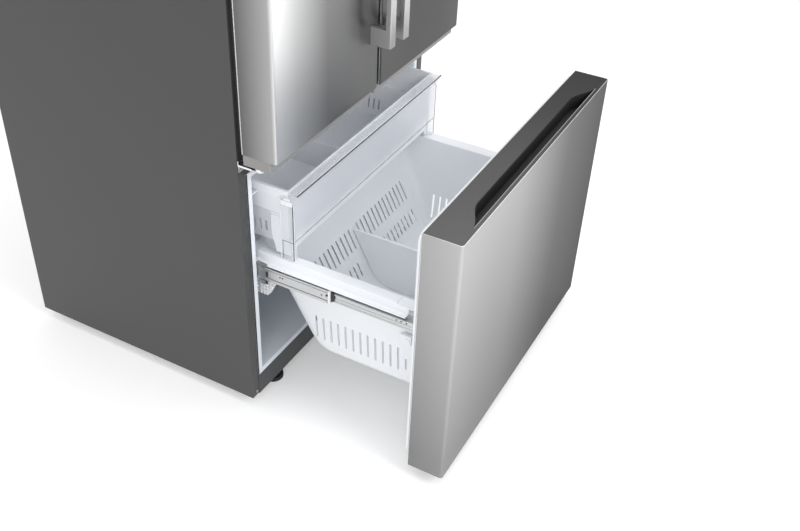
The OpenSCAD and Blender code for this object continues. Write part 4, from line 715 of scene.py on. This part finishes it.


# Clear front: dark strips painted along its edges as the shade where light bends in them, foot frames painted
# dark the same way, painted glints and corner clips
paneEdgeShades = {
    "boxes": [
        ((-373.5, 39.5, 666.4), (373.5, 41.6, 669.6)),
        ((-374.3, 53.7, 476.4), (-372.8, 55.2, 635.0)), ((372.8, 53.7, 476.4), (374.3, 55.2, 635.0)),
    ],
}
footFrames = {
    "boxes": [
        ((-374.3, 84.8, 476.4), (-373.95, 86.2, 530.0)), ((-374.3, 55.5, 528.6), (-373.95, 86.2, 530.0)),
        ((-371.15, 53.75, 529.2), (371.15, 54.3, 530.6)),
    ],
}
trayGlints = {
    "boxes": [
        ((-374.3, 89.2, 476.2), (-373.1, 91.1, 653.0)), ((-371.7, 53.65, 476.2), (-369.5, 54.4, 634.0)),
        ((-372.1, 41.8, 669.0), (372.1, 43.4, 670.1)),
    ],
}
cornerClips = {
    "edge": 0.5,
    "boxes": [((-374.7, 56.0, 633.0), (-372.6, 88.0, 645.0)), ((-374.7, 62.0, 647.0), (-372.6, 79.0, 653.0))],
}

roundedFrom("tray_front_panel", "trayFront", width=0.0007)
makePiece("traySideLines", "tray", "basket_white", drawSideLines, sideLines, both=True, material=lineShade)
makePiece("trayPaneEdgeShades", "tray", "clear_plastic", drawBoxes, paneEdgeShades, material=clearEdgeShade)
makePiece("trayFootFrames", "tray", "clear_plastic", drawBoxes, footFrames, material=clearEdgeShade)
makePiece("trayGlints", "tray", "clear_plastic", drawBoxes, trayGlints, material=clearGlint)
makePiece("trayCornerClips", "tray", "clear_plastic", drawBoxes, cornerClips, both=True, material=clearGlint)
print("tray ready")


# Freezer mouth: black strip painted as the shadow in the joint between flange and trim frame
trimShadowLine = {"boxes": [((-426.4, -1.25, 94.4), (-421.4, -0.85, 720.6))]}

makePiece("trimShadowLine", "cabinet", "dark_plastic", drawBoxes, trimShadowLine, both=True, material=paintedShadeBlack)
roundedFrom("freezer_trim_frame", "trimFrame", width=0.0009)


# Middle hinges: upturned tab, black pad and the collar round the pin
hingeTab = {
    "edge": 0.5,
    "boxes": [
        ((-453.2, -2.6, 757.4), (-430.0, -0.3, 772.0)), ((-453.2, -38.0, 757.6), (-451.9, -2.0, 762.6)),
    ],
}
hingePad = {"edge": 0.4, "boxes": [((-450.5, -38.0, 761.2), (-424.0, -12.0, 766.4))]}
pinCollar = {
    "edge": 0.6, "axis": "z", "sides": 32,
    "discs": [(760.8, 763.4, (-443.0, -55.0), 10.8), (763.2, 766.5, (-443.6, -54.0), 9.4)],
}

makePiece("hingeTabs", "cabinet", "slide_steel", drawBoxes, hingeTab, both=True, material=brightSteelAndHighlight)
makePiece("hingePads", "cabinet", "black_plastic", drawBoxes, hingePad, both=True)
makePiece("hingeCollars", "cabinet", "slide_steel", drawDiscs, pinCollar, both=True, material=brightSteelAndHighlight)
print("freezer mouth and hinges ready")


# Drawer front: finger pocket, curved at its ends, lined near-black as painted shade of the recess, with a
# lighter strip on the lip before it as painted highlight
pocketWell = {
    "half": 386.0, "flat": 282.0,           # half widths at the front and at the back wall
    "front": -94.5, "depth": 35.0, "floor": 711.0, "rim": 744.3, "steps": 18,
    "outerInset": 0.15, "innerInset": 1.1,
}
pocketLipHighlight = {"boxes": [((-380.0, -96.7, 747.2), (380.0, -94.7, 747.75))]}


def pocketOutline(look, inset):
    side = []
    for i in range(look["steps"] + 1):
        t = i / look["steps"]
        rise = (1.0 - math.cos(math.pi * t)) / 2.0
        side.append((look["half"] - inset * 2.0 - (look["half"] - look["flat"]) * t,
            look["front"] + inset + (look["depth"] - 2.0 * inset) * rise))
    return side + [(-x, y) for x, y in reversed(side)]


def drawPocketWell(bm, look):
    outer, inner = pocketOutline(look, look["outerInset"]), pocketOutline(look, look["innerInset"])
    rings = []
    for outline, z in ((outer, look["rim"]), (inner, look["rim"]), (inner, look["floor"])):
        rings.append([bm.verts.new((x, y, z)) for x, y in outline])
    count = len(outer)
    for lower, upper in ((rings[0], rings[1]), (rings[1], rings[2])):
        for i in range(count):
            bm.faces.new((lower[i], lower[(i + 1) % count], upper[(i + 1) % count], upper[i]))
    bm.faces.new(rings[2])


# Folded hem round the drawer's cap in near-white steel, a painted highlight along its edge: its left half,
# the right one mirrors it
skinHem = {
    "low": 747.3, "top": 748.3,
    "outer": [(-453.9, -12.2), (-453.9, -99.5), (-451.6, -104.8), (-446.5, -106.9)],
    "inner": [(-452.3, -12.2), (-452.3, -99.0), (-450.3, -103.6), (-446.0, -105.4)],
}


def drawSkinHem(bm, look):
    def ring(half, z):
        whole = half + [(-x, y) for x, y in reversed(half)]
        return [bm.verts.new((x, y, z)) for x, y in whole]

    lowOut, lowIn = ring(look["outer"], look["low"]), ring(look["inner"], look["low"])
    topOut, topIn = ring(look["outer"], look["top"]), ring(look["inner"], look["top"])
    for i in range(len(lowOut) - 1):
        for one, other in ((lowOut, topOut), (topOut, topIn), (topIn, lowIn), (lowIn, lowOut)):
            bm.faces.new((one[i], one[i + 1], other[i + 1], other[i]))
    for i in (0, -1):
        bm.faces.new((lowOut[i], topOut[i], topIn[i], lowIn[i]))


makePiece("pocketWell", "drawer", "cap_grey", drawPocketWell, pocketWell, material=paintedShadeBlack)
makePiece("pocketLipHighlight", "drawer", "cap_grey", drawBoxes, pocketLipHighlight, material=finishes["cap_silver"])
makePiece("drawerSkinHem", "drawer", "stainless", drawSkinHem, skinHem, material=brightSteelAndHighlight)
roundedFrom("drawer_inner_panel", "drawerPanel", width=0.0012)
print("drawer front ready")


# Doors: the folded rear hem of each skin in near-white steel as a painted highlight, then a bright fold
# painted as the highlight on the right door's edge and a black strip painted as the shade where the doors
# meet
leftHem = {"boxes": [((-454.0, -17.4, 794.2), (-452.9, -15.1, 1749.0))]}
rightHem = {"boxes": [((452.9, -17.4, 794.2), (454.0, -15.1, 1749.0))]}
meetingFoldHighlight = {"boxes": [((3.6, -105.5, 794.2), (4.3, -98.0, 1749.0))]}
meetingShade = {"boxes": [((3.5, -98.0, 794.2), (4.3, -20.0, 1749.0))]}

makePiece("doorHemLeft", "door_left", "stainless", drawBoxes, leftHem, material=brightSteelAndHighlight)
makePiece("doorHemRight", "door_right", "stainless", drawBoxes, rightHem, material=brightSteelAndHighlight)
makePiece("doorMeetingHighlight", "door_right", "stainless", drawBoxes, meetingFoldHighlight, material=brightSteelAndHighlight)
makePiece("doorMeetingShade", "door_right", "stainless", drawBoxes, meetingShade, material=paintedShadeBlack)
roundedFrom("door_left_caps", "leftDoorCaps", width=0.0011)
roundedFrom("door_right_caps", "rightDoorCaps", width=0.0011)
print("doors ready")


def dressFrameNodes():
    special = {"door_left_skin": leftDoorSteel, "door_right_skin": rightDoorSteel, "drawer_top_cap": capPaint}
    for node, solid in frame["nodes"].items():
        if solid.hide_render:
            continue
        solid.data.materials.clear()
        solid.data.materials.append(special.get(node) or finishes[slotOf[node]])


# Floor, lights and background
stage = {
    "floorHalf": 14.0,
    "floorDrop": 0.0005,
    "floorTone": (0.86, 0.86, 0.86),
    "floorLift": 0.24,      # lightens the floor to the white background
    "ambient": 0.92,        # strength of the sky on matt surfaces
}
lamps = {
    "keyLight": {"place": (-3.0, -1.5, 2.2), "aim": (-0.2, -0.4, 0.5), "size": 1.8, "watts": 16.0},
    "topLight": {"place": (0.2, -0.6, 3.8), "aim": (0.0, -0.3, 0.6), "size": 2.4, "watts": 26.0},
    "fillLight": {"place": (-0.8, -2.8, 2.4), "aim": (0.0, -0.2, 0.55), "size": 1.4, "watts": 34.0},
    # weak lamp under the freezer's ceiling, where such products have one
    "mouthLight": {"place": (0.0, -0.05, 0.698), "aim": (0.0, -0.07, 0.5), "size": 0.5, "watts": 0.13},
    # tall card that only shows in gloss
    "cardLight": {"place": (1.35, -1.75, 0.95), "aim": (-0.5, -0.45, 0.7), "size": 0.36, "watts": 4.0,
        "tall": 1.8},
}


def softLight(name, look):
    lamp = bpy.data.lights.new(name, "AREA")
    lamp.shape, lamp.size, lamp.energy = "DISK", look["size"], look["watts"]
    if "tall" in look:
        lamp.shape, lamp.size_y = "RECTANGLE", look["tall"]
    holder = bpy.data.objects.new(name, lamp)
    sceneNow.collection.objects.link(holder)
    holder.location = look["place"]
    holder.rotation_mode = "QUATERNION"
    holder.rotation_quaternion = (Vector(look["aim"]) - Vector(look["place"])).to_track_quat("-Z", "Y")
    holder.visible_camera = False
    holder.visible_diffuse = "tall" not in look


def studioWorld():
    world = bpy.data.worlds.new("studioWorld")
    sceneNow.world = world
    world.use_nodes = True
    tree = world.node_tree
    light = tree.nodes["Background"]
    fillNode(light, {"Color": (1.0, 1.0, 1.0, 1.0)})
    level = addTo(tree, "ShaderNodeMapRange", {"To Min": stage["ambient"], "To Max": 1.0})
    tree.links.new(anySight(tree).outputs["Value"], level.inputs["Value"])
    tree.links.new(level.outputs["Result"], light.inputs["Strength"])


# One for camera, glossy and transmission rays, zero for the rest
def anySight(tree):
    rays = addTo(tree, "ShaderNodeLightPath")
    two = addTo(tree, "ShaderNodeMath", operation="MAXIMUM")
    three = addTo(tree, "ShaderNodeMath", operation="MAXIMUM")
    tree.links.new(rays.outputs["Is Camera Ray"], two.inputs[0])
    tree.links.new(rays.outputs["Is Glossy Ray"], two.inputs[1])
    tree.links.new(two.outputs["Value"], three.inputs[0])
    tree.links.new(rays.outputs["Is Transmission Ray"], three.inputs[1])
    return three


def makeFloor():
    half = stage["floorHalf"]
    bm = bmesh.new()
    corners = ((-half, -half), (half, -half), (half, half), (-half, half))
    bm.faces.new([bm.verts.new((x, y, 0.0)) for x, y in corners])
    mesh = bpy.data.meshes.new("studioFloor")
    bm.to_mesh(mesh)
    bm.free()
    floor = bpy.data.objects.new("studioFloor", mesh)
    sceneNow.collection.objects.link(floor)
    floor.location.z = -stage["floorDrop"]
    material = bpy.data.materials.new("floorPaper")
    material.use_nodes = True
    tree = material.node_tree
    shader = tree.nodes["Principled BSDF"]
    lift = addTo(tree, "ShaderNodeMath", {1: stage["floorLift"]}, operation="MULTIPLY")
    fillNode(shader, {"Base Color": (*stage["floorTone"], 1.0), "Emission Color": (1.0, 1.0, 1.0, 1.0),
        "Roughness": 1.0, "Specular IOR Level": 0.0})
    tree.links.new(anySight(tree).outputs["Value"], lift.inputs[0])
    tree.links.new(lift.outputs["Value"], shader.inputs["Emission Strength"])
    mesh.materials.append(material)


dressFrameNodes()
print("frame nodes dressed")
studioWorld()
makeFloor()
for name, look in lamps.items():
    softLight(name, look)
print("stage ready")
